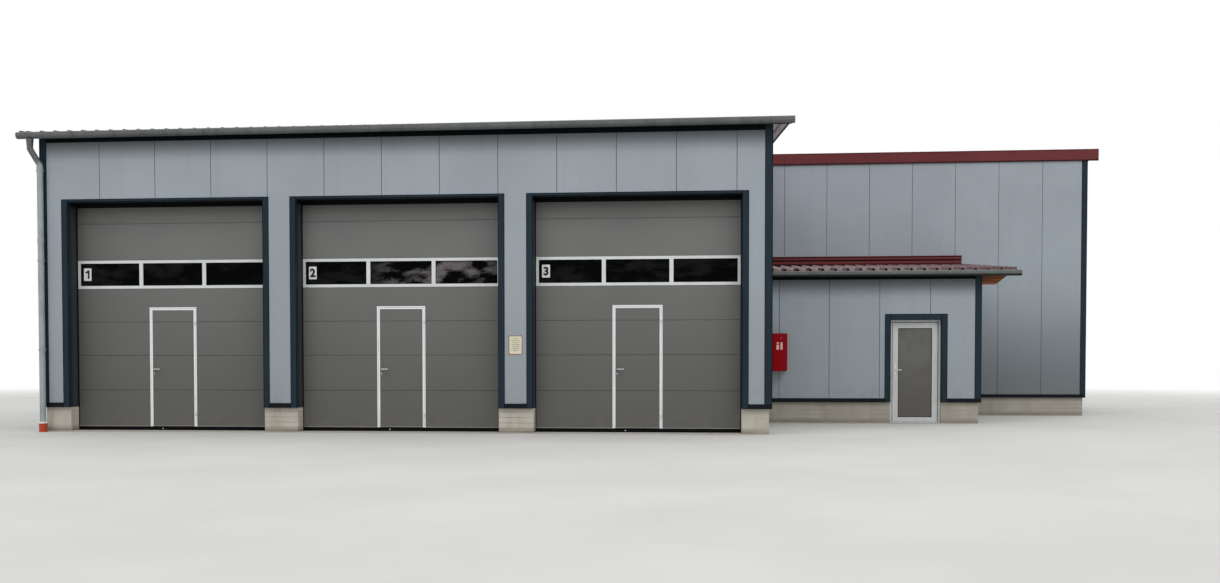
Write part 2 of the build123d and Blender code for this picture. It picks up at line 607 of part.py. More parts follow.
hall_corner_top = hall_under(FRONT - SHEET) - 1
annex_corner = corner(ANNEX_RIGHT, ANNEX_FRONT, -1, 1, annex_under(ANNEX_FRONT - SHEET) - 1)
front_row = annex_purlin_rows[0]
annex_corner -= block(ANNEX_RIGHT - 1, ANNEX_RIGHT + SHEET + 1, front_row, front_row + ANNEX_PURLIN_WIDTH,
                      annex_under(front_row) - ANNEX_PURLIN_DEPTH, ANNEX_EAVE_UNDERSIDE * 2)
add("corner_and_eave_trims", annex_corner,
    corner(LEFT, FRONT, 1, 1, hall_corner_top),
    corner(RIGHT, FRONT, -1, 1, hall_corner_top),
    corner(LEFT, BACK, 1, -1, hall_corner_top),
    corner(REAR_RIGHT, BACK, -1, -1, hall_corner_top),
    corner(REAR_RIGHT, 0, -1, 1, hall_under(0) - FASCIA_DROP))
annex_trim_top = annex_under(ANNEX_FRONT - SHEET) - 1
add("corner_and_eave_trims",
    block(LEFT + CORNER_LEG, RIGHT - CORNER_LEG, FRONT - SHEET, FRONT, EAVE_UNDERSIDE - EAVE_TRIM,
          hall_corner_top),
    block(LEFT + CORNER_LEG, REAR_RIGHT - CORNER_LEG, BACK, BACK + SHEET, EAVE_UNDERSIDE - EAVE_TRIM,
          hall_corner_top),
    block(RIGHT, ANNEX_RIGHT - CORNER_LEG, ANNEX_FRONT - SHEET, ANNEX_FRONT,
          ANNEX_EAVE_UNDERSIDE - ANNEX_EAVE_TRIM, annex_trim_top))


# Sectional gates
def section(x0, x1, z0, z1, low_edge=True, high_edge=True):
    """One gate section with its outer long edges bevelled."""
    body = block(x0, x1, LEAF_FRONT, LEAF_BACK, z0, z1)
    edges = body.edges().filter_by(Axis.X).group_by(Axis.Y)[0].sort_by(Axis.Z)
    chosen = ([edges[0]] if low_edge else []) + ([edges[-1]] if high_edge else [])
    return chamfer(chosen, SECTION_CHAMFER) if chosen else body


HALF_WICKET = WICKET_WIDTH / 2
FRAME_FRONT = LEAF_FRONT - WICKET_PROUD
FRAME_BACK = LEAF_BACK + WICKET_PROUD
leaf_half = HALF_WICKET - WICKET_FRAME - LEAF_CLEARANCE
leaf_bottom = GATE_SEAL_TOP + LEAF_CLEARANCE
leaf_top = WICKET_TOP - WICKET_FRAME - LEAF_CLEARANCE
hinge_y = FRAME_FRONT - HINGE_STANDOFF


def knuckle(x, y, z0, z1, plate_to, plate_side):
    """A hinge knuckle with its plate; plate_side is +1 where the plate lies towards +Y."""
    barrel = Pos(x, y, (z0 + z1) / 2) * Cylinder(KNUCKLE_RADIUS, z1 - z0)
    xs = sorted((x, x + plate_to * HINGE_PLATE_WIDTH))
    near = y + plate_side * (HINGE_STANDOFF - HINGE_PLATE)
    ys = sorted((near, y + plate_side * HINGE_STANDOFF))
    return barrel + block(xs[0], xs[1], ys[0], ys[1], z0, z1)


def fixed_hinge(x, y, z, plate_side):
    """The lower knuckle on the frame, with the pin that stands up from it."""
    pin = extrude(RegularPolygon(PIN_RADIUS, PIN_SIDES), amount=2 * KNUCKLE_LENGTH - PIN_DEPTH)
    return knuckle(x, y, z, z + KNUCKLE_LENGTH, 1, plate_side) + Pos(x, y, z) * pin


def moving_knuckle(x, y, z, plate_side):
    """The upper knuckle on the leaf, bored for the pin."""
    low, high = z + KNUCKLE_LENGTH + KNUCKLE_GAP, z + 2 * KNUCKLE_LENGTH
    bore = extrude(RegularPolygon(PIN_RADIUS + PIN_CLEARANCE, PIN_SIDES, major_radius=False),
                   amount=KNUCKLE_LENGTH + 2)
    return knuckle(x, y, low, high, -1, plate_side) - Pos(x, y, low - 1) * bore


def lever(x, face_y, out, z):
    """A lever handle on a long plate; out points away from the leaf."""
    ys = sorted((face_y, face_y + out * LEVER_PLATE_THICKNESS))
    plate = block(x - LEVER_PLATE_WIDTH / 2, x + LEVER_PLATE_WIDTH / 2, ys[0], ys[1],
                  z - LEVER_PLATE_HEIGHT / 2, z + LEVER_PLATE_HEIGHT / 2)
    neck = Pos(x, face_y + out * LEVER_NECK / 2, z) * Rot(90, 0, 0) * Cylinder(LEVER_NECK_RADIUS, LEVER_NECK)
    grip = (Pos(x + (LEVER_LENGTH - LEVER_NECK_RADIUS) / 2, face_y + out * LEVER_NECK, z)
            * Box(LEVER_LENGTH + LEVER_NECK_RADIUS, LEVER_GRIP, LEVER_GRIP))
    return plate + neck + chamfer(grip.edges().filter_by(Axis.X), LEVER_BEVEL)


for number, centre in enumerate(GATE_CENTRES, 1):
    left, right = centre - HALF_GATE - GATE_SIDE_LAP, centre + HALF_GATE + GATE_SIDE_LAP
    cut_left, cut_right = centre - HALF_WICKET, centre + HALF_WICKET
    z0 = GATE_SEAL_TOP
    bands = []
    for z1 in SECTION_TOPS + (WICKET_TOP,):
        last = z1 == WICKET_TOP
        for x0, x1 in ((left, cut_left), (cut_right, right)):
            bands.append(section(x0, x1, z0 + (SECTION_GAP if z0 != GATE_SEAL_TOP else 0), z1,
                                 z0 != GATE_SEAL_TOP, not last))
        z0 = z1
    bands.append(section(left, right, WICKET_TOP + SECTION_GAP, WINDOW_BOTTOM, False, True))
    bands.append(section(left, right, WINDOW_TOP, UPPER_SECTION_TOP))
    bands.append(section(left, right, UPPER_SECTION_TOP + SECTION_GAP, GATE_LEAF_TOP))
    add("gate_sections", *bands)
    add("gate_seals", block(left, right, LEAF_FRONT, LEAF_BACK, FLOOR_TOP, GATE_SEAL_TOP))

    # Window section: a framed rail with three panes
    frame = block(left, right, LEAF_FRONT - WINDOW_PROUD, LEAF_BACK, WINDOW_BOTTOM, WINDOW_TOP)
    pane_left = centre - HALF_GATE + WINDOW_STILE
    pane_right = centre + HALF_GATE - WINDOW_STILE
    pane = (pane_right - pane_left - 2 * WINDOW_MULLION) / 3
    glass_y = (LEAF_FRONT + LEAF_BACK) / 2
    for step in range(3):
        x0 = pane_left + step * (pane + WINDOW_MULLION)
        frame -= block(x0, x0 + pane, LEAF_FRONT - 5, LEAF_BACK + 5, WINDOW_BOTTOM + WINDOW_RAIL,
                       WINDOW_TOP - WINDOW_RAIL)
        add("gate_glazing", block(x0, x0 + pane, glass_y - GLASS / 2, glass_y + GLASS / 2,
                                  WINDOW_BOTTOM + WINDOW_RAIL, WINDOW_TOP - WINDOW_RAIL))
    add("gate_window_frames", frame)

    # Guide rails beside the leaf
    for side, edge in ((-1, left), (1, right)):
        web = sorted((edge, edge + side * SHEET))
        rest = sorted((edge - side * RAIL, edge + side * SHEET))
        add("gate_rails",
            block(web[0], web[1], POST_BACK, LEAF_BACK, FLOOR_TOP, GATE_LEAF_TOP)
            + block(rest[0], rest[1], LEAF_BACK, LEAF_BACK + SHEET, FLOOR_TOP, GATE_LEAF_TOP))

    # Fixed frame round the wicket, with its half of the hinges
    hinge_x = centre + leaf_half + LEAF_CLEARANCE / 2
    surround = (block(cut_left, cut_right, FRAME_FRONT, FRAME_BACK, GATE_SEAL_TOP, WICKET_TOP)
                - block(cut_left + WICKET_FRAME, cut_right - WICKET_FRAME, FRAME_FRONT - 1, FRAME_BACK + 1,
                        GATE_SEAL_TOP - 1, WICKET_TOP - WICKET_FRAME))
    add("wicket_frames", surround)
    hinge_levels = (leaf_bottom + HINGE_MARGIN, leaf_top - HINGE_MARGIN - 2 * KNUCKLE_LENGTH)
    for z in hinge_levels:
        add("door_hinges", fixed_hinge(hinge_x, hinge_y, z, 1))

    # The wicket leaf: bevelled panels in an edge profile that is open at the foot
    name = f"wicket_{number}"
    inner_half = leaf_half - WICKET_EDGE
    z0 = leaf_bottom
    top = leaf_top - WICKET_EDGE
    for z1 in SECTION_TOPS + (top,):
        add(name + "_panels", section(centre - inner_half, centre + inner_half,
                                      z0 + (SECTION_GAP if z0 in SECTION_TOPS else 0), z1,
                                      z0 in SECTION_TOPS, z1 in SECTION_TOPS))
        z0 = z1
    edge = (block(centre - leaf_half, centre + leaf_half, FRAME_FRONT, FRAME_BACK, leaf_bottom, leaf_top)
            - block(centre - inner_half, centre + inner_half, FRAME_FRONT - 1, FRAME_BACK + 1,
                    leaf_bottom - 1, leaf_top - WICKET_EDGE))
    for z in hinge_levels:
        edge += moving_knuckle(hinge_x, hinge_y, z, 1)
    add(name + "_edge", edge)
    lever_x = centre - inner_half + LEVER_PLATE_WIDTH / 2 + LEVER_PLATE_MARGIN
    add(name + "_handles", lever(lever_x, LEAF_FRONT, -1, LEVER_HEIGHT),
        lever(lever_x, LEAF_BACK, 1, LEVER_HEIGHT))

# Annex door
door_bottom = FLOOR_TOP
frame_left, frame_right = DOOR_CENTRE - HALF_DOOR, DOOR_CENTRE + HALF_DOOR
door_frame = (block(frame_left, frame_right, DOOR_FRONT, DOOR_BACK, door_bottom, DOOR_TOP)
              - block(frame_left + DOOR_FRAME, frame_right - DOOR_FRAME, DOOR_FRONT - 1, DOOR_BACK + 1,
                      door_bottom + THRESHOLD, DOOR_TOP - DOOR_FRAME))
add("annex_door_frame", door_frame)
door_hinge_x = frame_right - DOOR_FRAME - LEAF_CLEARANCE / 2
door_hinge_y = DOOR_BACK + HINGE_STANDOFF
sash_left = frame_left + DOOR_FRAME + LEAF_CLEARANCE
sash_right = frame_right - DOOR_FRAME - LEAF_CLEARANCE
sash_bottom = door_bottom + THRESHOLD + LEAF_CLEARANCE
sash_top = DOOR_TOP - DOOR_FRAME - LEAF_CLEARANCE
sash_front = DOOR_BACK - DOOR_LEAF
door_hinges = (sash_bottom + HINGE_MARGIN, sash_top - HINGE_MARGIN - 2 * KNUCKLE_LENGTH)
sash = (block(sash_left, sash_right, sash_front, DOOR_BACK, sash_bottom, sash_top)
        - block(sash_left + DOOR_STILE, sash_right - DOOR_STILE, sash_front - 1, DOOR_BACK + 1,
                sash_bottom + DOOR_BOTTOM_RAIL, sash_top - DOOR_STILE))
for z in door_hinges:
    add("door_hinges", fixed_hinge(door_hinge_x, door_hinge_y, z, -1))
    sash += moving_knuckle(door_hinge_x, door_hinge_y, z, -1)
add("annex_door_sash", sash)
infill_y = DOOR_BACK - DOOR_LEAF / 2
add("annex_door_infill",
    block(sash_left + DOOR_STILE, sash_right - DOOR_STILE, infill_y - DOOR_INFILL / 2,
          infill_y + DOOR_INFILL / 2, sash_bottom + DOOR_BOTTOM_RAIL, sash_top - DOOR_STILE))
door_lever_x = sash_left + DOOR_STILE / 2
add("annex_door_handles", lever(door_lever_x, sash_front, -1, DOOR_LEVER_HEIGHT),
    lever(door_lever_x, DOOR_BACK, 1, DOOR_LEVER_HEIGHT))


# Gutters, downpipes and the standpipes that take them
def trough(x0, x1, y, half, middle_z, top):
    """A bar along X with a flat top and a round bottom."""
    return (block(x0, x1, y - half, y + half, middle_z, top)
            + Pos((x0 + x1) / 2, y, middle_z) * Rot(0, 90, 0) * Cylinder(half, x1 - x0))


def tilted(shape, x1, top, angle):
    """Tilt a shape about the line along Y through x1 and top."""
    return Pos(x1, 0, top) * Rot(0, -angle, 0) * Pos(-x1, 0, -top) * shape


def gutter(x0, x1, back_y, outward, top, fall):
    """A gutter with closed ends that falls to its left end, and its outer form."""
    radius = GUTTER_WIDTH / 2
    y = back_y + outward * radius
    middle_z = top - GUTTER_HEIGHT + radius
    outer = trough(x0, x1, y, radius, middle_z, top)
    bore = trough(x0 + GUTTER_SHEET, x1 - GUTTER_SHEET, y, radius - GUTTER_SHEET, middle_z, top + 1)
    angle = math.degrees(math.atan(fall / (x1 - x0)))
    return tilted(outer - bore, x1, top, angle), tilted(outer, x1, top, angle)


def downpipe(outward, gutter_form, gutter_top, gutter_right):
    """A pipe from the funnel under the gutter by the left corner, back to the wall and down it."""
    wall = outward * HALL_DEPTH / 2
    outlet_x = LEFT + OUTLET_FROM_CORNER
    pipe_x = LEFT + PIPE_FROM_CORNER
    outlet_y = outward * (HALL_DEPTH / 2 + EAVE_OVERHANG + GUTTER_WIDTH / 2)
    pipe_y = wall + outward * PIPE_FROM_WALL
    fall = GUTTER_FALL * (gutter_right - outlet_x) / (gutter_right - ROOF_LEFT)
    start = gutter_top - GUTTER_HEIGHT - fall
    funnel_top = start + FUNNEL_RISE
    funnel = (Pos(outlet_x, outlet_y, funnel_top - FUNNEL_LENGTH / 2)
              * Cone(PIPE_RADIUS, FUNNEL_RADIUS, FUNNEL_LENGTH)) - gutter_form
    neck = funnel_top - FUNNEL_LENGTH
    path = Polyline((outlet_x, outlet_y, neck), (outlet_x, outlet_y, start - NECK_DROP),
                    (pipe_x, pipe_y, start - NECK_DROP - NECK_LENGTH), (pipe_x, pipe_y, PIPE_END))
    ring = Plane((outlet_x, outlet_y, neck), z_dir=(0, 0, -1)) * Circle(PIPE_RADIUS)
    pipe = funnel + sweep(ring, path, transition=Transition.RIGHT)
    ys = sorted((pipe_y, wall + outward * SHEET))
    for number in range(CLIP_COUNT):
        z = CLIP_FIRST + number * CLIP_PITCH
        pipe += block(pipe_x - CLIP_WIDTH / 2, pipe_x + CLIP_WIDTH / 2, ys[0], ys[1], z, z + CLIP_HEIGHT)
    stand = (Pos(pipe_x, pipe_y, STANDPIPE_TOP / 2) * Cylinder(STANDPIPE_RADIUS, STANDPIPE_TOP)
             - Pos(pipe_x, pipe_y, STANDPIPE_TOP / 2) * Cylinder(PIPE_RADIUS, STANDPIPE_TOP + 2))
    return pipe, stand


gutter_top = EAVE_UNDERSIDE + GUTTER_RISE
for outward, right_end in ((-1, ROOF_RIGHT + HALL_GUTTER_OVERRUN), (1, REAR_ROOF_RIGHT)):
    hollow, form = gutter(ROOF_LEFT, right_end, outward * -EAVE_Y, outward, gutter_top, GUTTER_FALL)
    pipe, stand = downpipe(outward, form, gutter_top, right_end)
    add("gutters", hollow)
    add("downpipes", pipe)
    add("standpipes", stand)
add("gutters", gutter(RIGHT, ANNEX_ROOF_RIGHT + ANNEX_GUTTER_OVERRUN, ANNEX_EAVE_Y, -1,
                      ANNEX_EAVE_UNDERSIDE - ANNEX_GUTTER_DROP, 0)[0])

# Fire cabinet and notice plate
cabinet_left = RIGHT + CABINET_FROM_HALL
cabinet = block(cabinet_left, cabinet_left + CABINET_WIDTH, ANNEX_FRONT - CABINET_DEPTH, ANNEX_FRONT,
                CABINET_BOTTOM, CABINET_BOTTOM + CABINET_HEIGHT)
corners = cabinet.edges().filter_by(Axis.Y).group_by(Axis.Z)
cabinet = fillet(corners[0], CABINET_BOTTOM_CORNER)
corners = cabinet.edges().filter_by(Axis.Y).group_by(Axis.Z)
add("fire_cabinet", fillet(corners[-1], CABINET_TOP_CORNER))
notice_x = GATE_PITCH / 2
add("notice_plate",
    block(notice_x - NOTICE_WIDTH / 2, notice_x + NOTICE_WIDTH / 2, FRONT - NOTICE_THICKNESS, FRONT,
          NOTICE_BOTTOM, NOTICE_BOTTOM + NOTICE_HEIGHT))

os.makedirs("parts", exist_ok=True)
for name, shapes in NODES.items():
    solids = [solid for shape in shapes for solid in shape.solids()]
    result = solids[0] if len(solids) == 1 else Compound(children=solids)
    export_step(result, f"parts/{name}.step")
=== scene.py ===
import json
import math

import bmesh
import bpy
from mathutils import Matrix, Vector


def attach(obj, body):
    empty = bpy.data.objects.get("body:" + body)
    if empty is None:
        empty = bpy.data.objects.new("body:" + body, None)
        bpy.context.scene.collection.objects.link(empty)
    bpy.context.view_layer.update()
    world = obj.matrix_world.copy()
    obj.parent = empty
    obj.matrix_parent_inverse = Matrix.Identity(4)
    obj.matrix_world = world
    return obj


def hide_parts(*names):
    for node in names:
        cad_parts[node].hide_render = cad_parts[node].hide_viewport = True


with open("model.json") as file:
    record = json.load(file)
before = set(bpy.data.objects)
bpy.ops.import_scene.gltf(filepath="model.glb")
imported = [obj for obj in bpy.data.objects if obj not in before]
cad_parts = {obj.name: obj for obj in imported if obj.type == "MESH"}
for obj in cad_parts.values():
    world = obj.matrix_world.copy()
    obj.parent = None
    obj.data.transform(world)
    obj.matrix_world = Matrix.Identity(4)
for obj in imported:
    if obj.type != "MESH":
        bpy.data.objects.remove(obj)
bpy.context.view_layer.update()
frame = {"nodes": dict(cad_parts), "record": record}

# Camera, from the fit of the photograph (pixels of the 1220 x 583 frame, metres, degrees)
PHOTO_WIDTH = 1220
PHOTO_HEIGHT = 583
FOCAL_PIXELS = 1054.0
HORIZON_CENTRE = 395.95
CAMERA_AT = (5.069, -25.610, 1.0713)
CAMERA_LEFT = 4.6256
CAMERA_DOWN = 1.3817
CAMERA_REACH = 400


# Node materials
class Nodes:
    """A small helper that adds shader nodes and links them."""

    def __init__(self, name):
        self.material = bpy.data.materials.new(name)
        self.material.use_nodes = True
        self.tree = self.material.node_tree
        self.tree.nodes.clear()
        self.output = self.add("ShaderNodeOutputMaterial")
        self.shader = self.add("ShaderNodeBsdfPrincipled")
        self.link(self.shader.outputs["BSDF"], self.output.inputs["Surface"])
        self.spot = self.add("ShaderNodeTexCoord")
        self.place = self.spot.outputs["Object"]

    def add(self, kind):
        return self.tree.nodes.new(kind)

    def link(self, out, into):
        self.tree.links.new(out, into)

    def set(self, **values):
        names = {"roughness": "Roughness", "metallic": "Metallic", "coat": "Coat Weight",
                 "coat_roughness": "Coat Roughness", "specular": "Specular IOR Level",
                 "sheen": "Sheen Weight", "sheen_roughness": "Sheen Roughness", "sheen_tint": "Sheen Tint"}
        for key, value in values.items():
            self.shader.inputs[names[key]].default_value = value
        return self

    def scaled(self, factors):
        """The place in metres, stretched along each axis."""
        node = self.add("ShaderNodeVectorMath")
        node.operation = "MULTIPLY"
        self.link(self.place, node.inputs[0])
        node.inputs[1].default_value = factors
        return node.outputs[0]

    def noise(self, scale, detail=4.0, rough=0.55, stretch=None):
        node = self.add("ShaderNodeTexNoise")
        node.inputs["Scale"].default_value = scale
        node.inputs["Detail"].default_value = detail
        node.inputs["Roughness"].default_value = rough
        self.link(self.scaled(stretch) if stretch else self.place, node.inputs["Vector"])
        return node.outputs["Fac"]

    def axis(self, name, of="Object"):
        """One axis of the place, or of the face's direction with of="Normal"."""
        node = self.add("ShaderNodeSeparateXYZ")
        self.link(self.spot.outputs[of], node.inputs[0])
        return node.outputs[name]

    def math(self, operation, *values, clamp=False):
        node = self.add("ShaderNodeMath")
        node.operation = operation
        node.use_clamp = clamp
        for index, value in enumerate(values):
            if isinstance(value, (int, float)):
                node.inputs[index].default_value = value
            else:
                self.link(value, node.inputs[index])
        return node.outputs[0]

    def times(self, a, b):
        return self.math("MULTIPLY", a, b)

    def span(self, value, low, high, out_low=0.0, out_high=1.0):
        """Map a range smoothly onto another, clamped."""
        node = self.add("ShaderNodeMapRange")
        node.interpolation_type = "SMOOTHSTEP"
        self.link(value, node.inputs["Value"])
        for name, number in (("From Min", low), ("From Max", high),
                             ("To Min", out_low), ("To Max", out_high)):
            node.inputs[name].default_value = number
        return node.outputs[0]

    def mix(self, factor, a, b):
        """Blend two tones, each an sRGB triple of 0 to 255 or the output of a node."""
        node = self.add("ShaderNodeMix")
        node.data_type = "RGBA"
        self.link(factor, node.inputs[0])
        for index, value in ((6, a), (7, b)):
            if isinstance(value, tuple):
                node.inputs[index].default_value = srgb(*value)
            else:
                self.link(value, node.inputs[index])
        return node.outputs[2]

    def colour(self, value):
        self.link(value, self.shader.inputs["Base Color"])
        return self

    def roughness(self, value):
        self.link(value, self.shader.inputs["Roughness"])
        return self

    def bump(self, height, distance):
        node = self.add("ShaderNodeBump")
        node.inputs["Distance"].default_value = distance
        self.link(height, node.inputs["Height"])
        self.link(node.outputs[0], self.shader.inputs["Normal"])
        return self


def srgb(red, green, blue):
    """An sRGB colour of 0 to 255 as linear RGBA."""
    def one(value):
        value /= 255
        return value / 12.92 if value <= 0.04045 else ((value + 0.055) / 1.055) ** 2.4
    return (one(red), one(green), one(blue), 1.0)


def coated(n, base, light, dark, rain_share=0.3, rough=0.45, streak=(3.0, 3.0, 0.25)):
    """Coated sheet: a soft cloud of tone, faint rain streaks and a fine grain; returns the tone."""
    cloud = n.noise(0.7, 3.0)
    rain = n.noise(2.2, 5.0, 0.6, streak)
    tone = n.mix(n.span(cloud, 0.3, 0.7), base, light)
    tone = n.mix(n.span(rain, 0.5, 0.8, 0.0, rain_share), tone, dark)
    n.roughness(n.span(rain, 0.3, 0.8, rough - 0.05, rough + 0.1))
    n.bump(n.noise(60.0, 3.0), 0.0004)
    return tone


# Where the painted tones start and where they are full: heights in metres, or places along X or Y
# The walls: painted shade towards the foot and under the gutters, and splashed dirt at the foot
WALL_LOW_SHADE, WALL_SPLASH, EAVE_SHADE = (3.6, 0.5), (0.95, 0.45), (0.42, -0.02)
# Levels under the eaves where the painted shade on the walls begins
HALL_EAVE_SHADE, ANNEX_EAVE_SHADE, NO_EAVE_SHADE = 5.070, 2.905, 9.0
HALL_FRONTS_Y, REAR_FRONT_Y = 6.0, 1.0
# The plinths: a damp foot, board marks, and painted shade on those behind the hall's front
PLINTH_DAMP, PLINTH_SHADE_Y, BOARDS_PER_METRE = (0.14, 0.0), (-6.0, -5.0), 11.0
# The gates: painted shade low down, under the head and on the left gate, and dust at the foot
GATE_LOW_SHADE, GATE_HEAD_SHADE, GATE_DUST, GATE_LEFT_SHADE_X = (3.9, 0.2), (3.72, 3.98), (0.45, 0.08), (-4.6, -5.9)
# Painted shade under the annex gutter and on the downpipes' necks under the eaves
ANNEX_GUTTER, PIPE_SHADE, INFILL_LOW = (3.3, 3.2), (4.62, 4.72), (1.6, 0.4)
JAMB_LINING_Y, JAMB_LINING_Z = (-7.742, -7.750), (3.97, 3.90)
# Painted reflections on the panes: their middle along X and how far they reach
REFLECTION_X, REFLECTION_REACH = 0.75, (1.4, 0.6)
# How far a face looks down: the underside of a gutter, the back of a roof sheet
UNDERSIDE, SHEET_BACK = (-0.10, -0.60), (-0.1, -0.3)


def wall_material(name, with_eaves=False):
    """Coated wall panels with painted shade towards the foot; with_eaves adds painted shade under the
    gutters.
    """
    n = Nodes(name)
    y, z = n.axis("Y"), n.axis("Z")
    tone = coated(n, (151, 159, 166), (157, 165, 172), (138, 145, 151), 0.25, 0.4)
    # Painted shade towards the foot, where less sky light reaches
    low = n.span(z, *WALL_LOW_SHADE)
    splash = n.times(n.span(z, *WALL_SPLASH), n.span(n.noise(5.0, 5.0), 0.4, 0.7))
    tone = n.mix(n.times(low, 0.3), tone, (132, 139, 142))
    if with_eaves:
        # Painted shade under the gutters of the hall and the annex, none on the rear wall
        hall = n.math("GREATER_THAN", n.math("ABSOLUTE", y), HALL_FRONTS_Y)
        rear = n.times(n.math("GREATER_THAN", y, -REAR_FRONT_Y),
                      n.math("LESS_THAN", y, REAR_FRONT_Y))
        lift = n.math("ADD", n.times(hall, HALL_EAVE_SHADE - ANNEX_EAVE_SHADE),
                      n.times(rear, NO_EAVE_SHADE))
        under_eave = n.math("SUBTRACT", n.math("ADD", lift, ANNEX_EAVE_SHADE), z)
        tone = n.mix(n.span(under_eave, *EAVE_SHADE, 0.0, 0.8), tone, (54, 57, 58))
        # Painted shade low down on the rear wall
        tone = n.mix(n.times(n.times(low, rear), 0.9), tone, (102, 108, 111))
    n.colour(n.mix(n.times(splash, 0.25), tone, (118, 120, 118)))
    return n.set(specular=0.35).material


def concrete_material(name):
    """Cast concrete: clouds, runs, pores, rust spots, a damp foot and the marks of its boards, with painted
    shade on the plinths behind the hall's front.
    """
    n = Nodes(name)
    z = n.axis("Z")
    cloud = n.noise(1.8, 6.0, 0.6)
    fine = n.noise(45.0, 5.0, 0.65)
    pores = n.noise(90.0, 2.0, 0.5)
    runs = n.noise(3.2, 5.0, 0.6, (1.6, 1.6, 0.22))
    rust = n.noise(5.5, 4.0, 0.7)
    tone = n.mix(n.span(cloud, 0.3, 0.72), (182, 175, 162), (202, 196, 183))
    tone = n.mix(n.span(runs, 0.5, 0.75, 0.0, 0.5), tone, (156, 148, 136))
    tone = n.mix(n.span(fine, 0.55, 0.75, 0.0, 0.4), tone, (140, 132, 121))
    tone = n.mix(n.span(pores, 0.68, 0.74, 0.0, 0.6), tone, (92, 86, 78))
    tone = n.mix(n.span(rust, 0.68, 0.78, 0.0, 0.55), tone, (128, 88, 62))
    damp = n.times(n.span(z, *PLINTH_DAMP), n.span(cloud, 0.3, 0.6, 0.5, 1.0))
    tone = n.mix(damp, tone, (112, 103, 90))
    board = n.math("FRACT", n.times(z, BOARDS_PER_METRE))
    boards = n.math("ABSOLUTE", n.math("SUBTRACT", board, 0.5))
    seams = n.times(n.span(boards, 0.40, 0.48), n.span(n.noise(1.3, 3.0), 0.40, 0.62, 0.1, 0.5))
    tone = n.mix(seams, tone, (112, 105, 94))
    # Painted shade on the plinths behind the hall's front
    behind = n.span(n.axis("Y"), *PLINTH_SHADE_Y, 0.0, 0.45)
    n.colour(n.mix(behind, tone, (132, 128, 118))).set(roughness=0.92, specular=0.25)
    height = n.math("SUBTRACT", n.math("ADD", fine, n.times(cloud, 1.5)), seams)
    return n.bump(n.math("SUBTRACT", height, n.span(pores, 0.66, 0.76)), 0.003).material


def roof_material(name, pale_back=False, sheen=0.0):
    """Coated roof sheet; pale_back is for a thin sheet with its pale underside, sheen for low light."""
    n = Nodes(name)
    tone = coated(n, (98, 40, 42), (106, 46, 48), (76, 32, 36), 0.4, 0.2 if pale_back else 0.45,
                  (2.0, 0.3, 2.0))
    dust = n.noise(1.4, 5.0, 0.65, (3.0, 0.35, 0.35))
    tone = n.mix(n.span(dust, 0.55, 0.8, 0.0, 0.22), tone, (126, 84, 80))
    if pale_back:
        tone = n.mix(n.span(n.axis("Z", "Normal"), *SHEET_BACK), tone, (188, 175, 168))
    if sheen:
        n.set(sheen=sheen, sheen_roughness=0.25, sheen_tint=(1.0, 0.86, 0.88, 1.0))
    return n.colour(tone).set(specular=0.5 if pale_back else 0.2).material


def trim_material(name, base, light, dark):
    n = Nodes(name)
    tone = coated(n, base, light, dark, 0.35, 0.5)
    return n.colour(tone).set(specular=0.10).material


def gate_material(name):
    """Textured gate skin with painted shade low down, at the head and on the left gate, and dust at the foot.
    """
    n = Nodes(name)
    z = n.axis("Z")
    grain = n.noise(140.0, 4.0, 0.6, (0.7, 1.0, 1.0))
    cloud = n.noise(0.6, 3.0)
    tone = n.mix(n.span(cloud, 0.3, 0.7), (112, 112, 111), (118, 118, 116))
    tone = n.mix(n.span(grain, 0.45, 0.75, 0.0, 0.3), tone, (98, 98, 96))
    # Painted shade low down, under the head and on the left gate
    tone = n.mix(n.span(z, *GATE_LOW_SHADE, 0.0, 0.75), tone, (88, 87, 82))
    tone = n.mix(n.span(z, *GATE_HEAD_SHADE, 0.0, 0.7), tone, (78, 78, 77))
    tone = n.mix(n.span(n.axis("X"), *GATE_LEFT_SHADE_X, 0.0, 0.45), tone, (74, 74, 72))
    dust = n.times(n.span(z, *GATE_DUST), n.span(n.noise(6.0, 5.0), 0.35, 0.7))
    n.colour(n.mix(n.times(dust, 0.35), tone, (116, 108, 98)))
    n.roughness(n.span(grain, 0.3, 0.8, 0.45, 0.6))
    return n.bump(grain, 0.0006).set(specular=0.3).material


def metal_material(name, base, dark, rough, metallic=0.85):
    n = Nodes(name)
    brushed = n.noise(40.0, 4.0, 0.6, (1.0, 1.0, 0.1))
    cloud = n.noise(3.0, 3.0)
    n.colour(n.mix(n.span(cloud, 0.35, 0.75, 0.0, 0.6), base, dark)).set(metallic=metallic)
    n.roughness(n.span(brushed, 0.3, 0.7, rough - 0.06, rough + 0.08))
    return n.bump(brushed, 0.0002).material


def zinc_material(name, base, light, dark, painted_shade_above=None, painted_shade_below=False):
    """Weathered zinc: patina clouds, fine spangle and dark runs; painted shade above a level,
    and on the faces of the annex gutter that look down."""
    n = Nodes(name)
    patina = n.noise(3.5, 5.0, 0.65)
    spangle = n.noise(70.0, 3.0, 0.7)
    runs = n.noise(9.0, 4.0, 0.6, (1.0, 1.0, 0.15))
    tone = n.mix(n.span(patina, 0.3, 0.7), base, light)
    tone = n.mix(n.span(spangle, 0.5, 0.7, 0.0, 0.25), tone, light)
    tone = n.mix(n.span(runs, 0.5, 0.75, 0.0, 0.55), tone, dark)
    if painted_shade_above:
        # Painted shade, darker above a level
        tone = n.mix(n.span(n.axis("Z"), *painted_shade_above), tone, (88, 92, 96))
    if painted_shade_below:
        # Painted shade on the faces of the annex gutter that look down
        under = n.times(n.span(n.axis("Z", "Normal"), *UNDERSIDE), n.span(n.axis("Z"), *ANNEX_GUTTER))
        tone = n.mix(under, tone, (10, 11, 11))
    n.colour(tone).set(metallic=0.25)
    n.roughness(n.span(patina, 0.3, 0.8, 0.45, 0.65))
    return n.bump(spangle, 0.0003).material


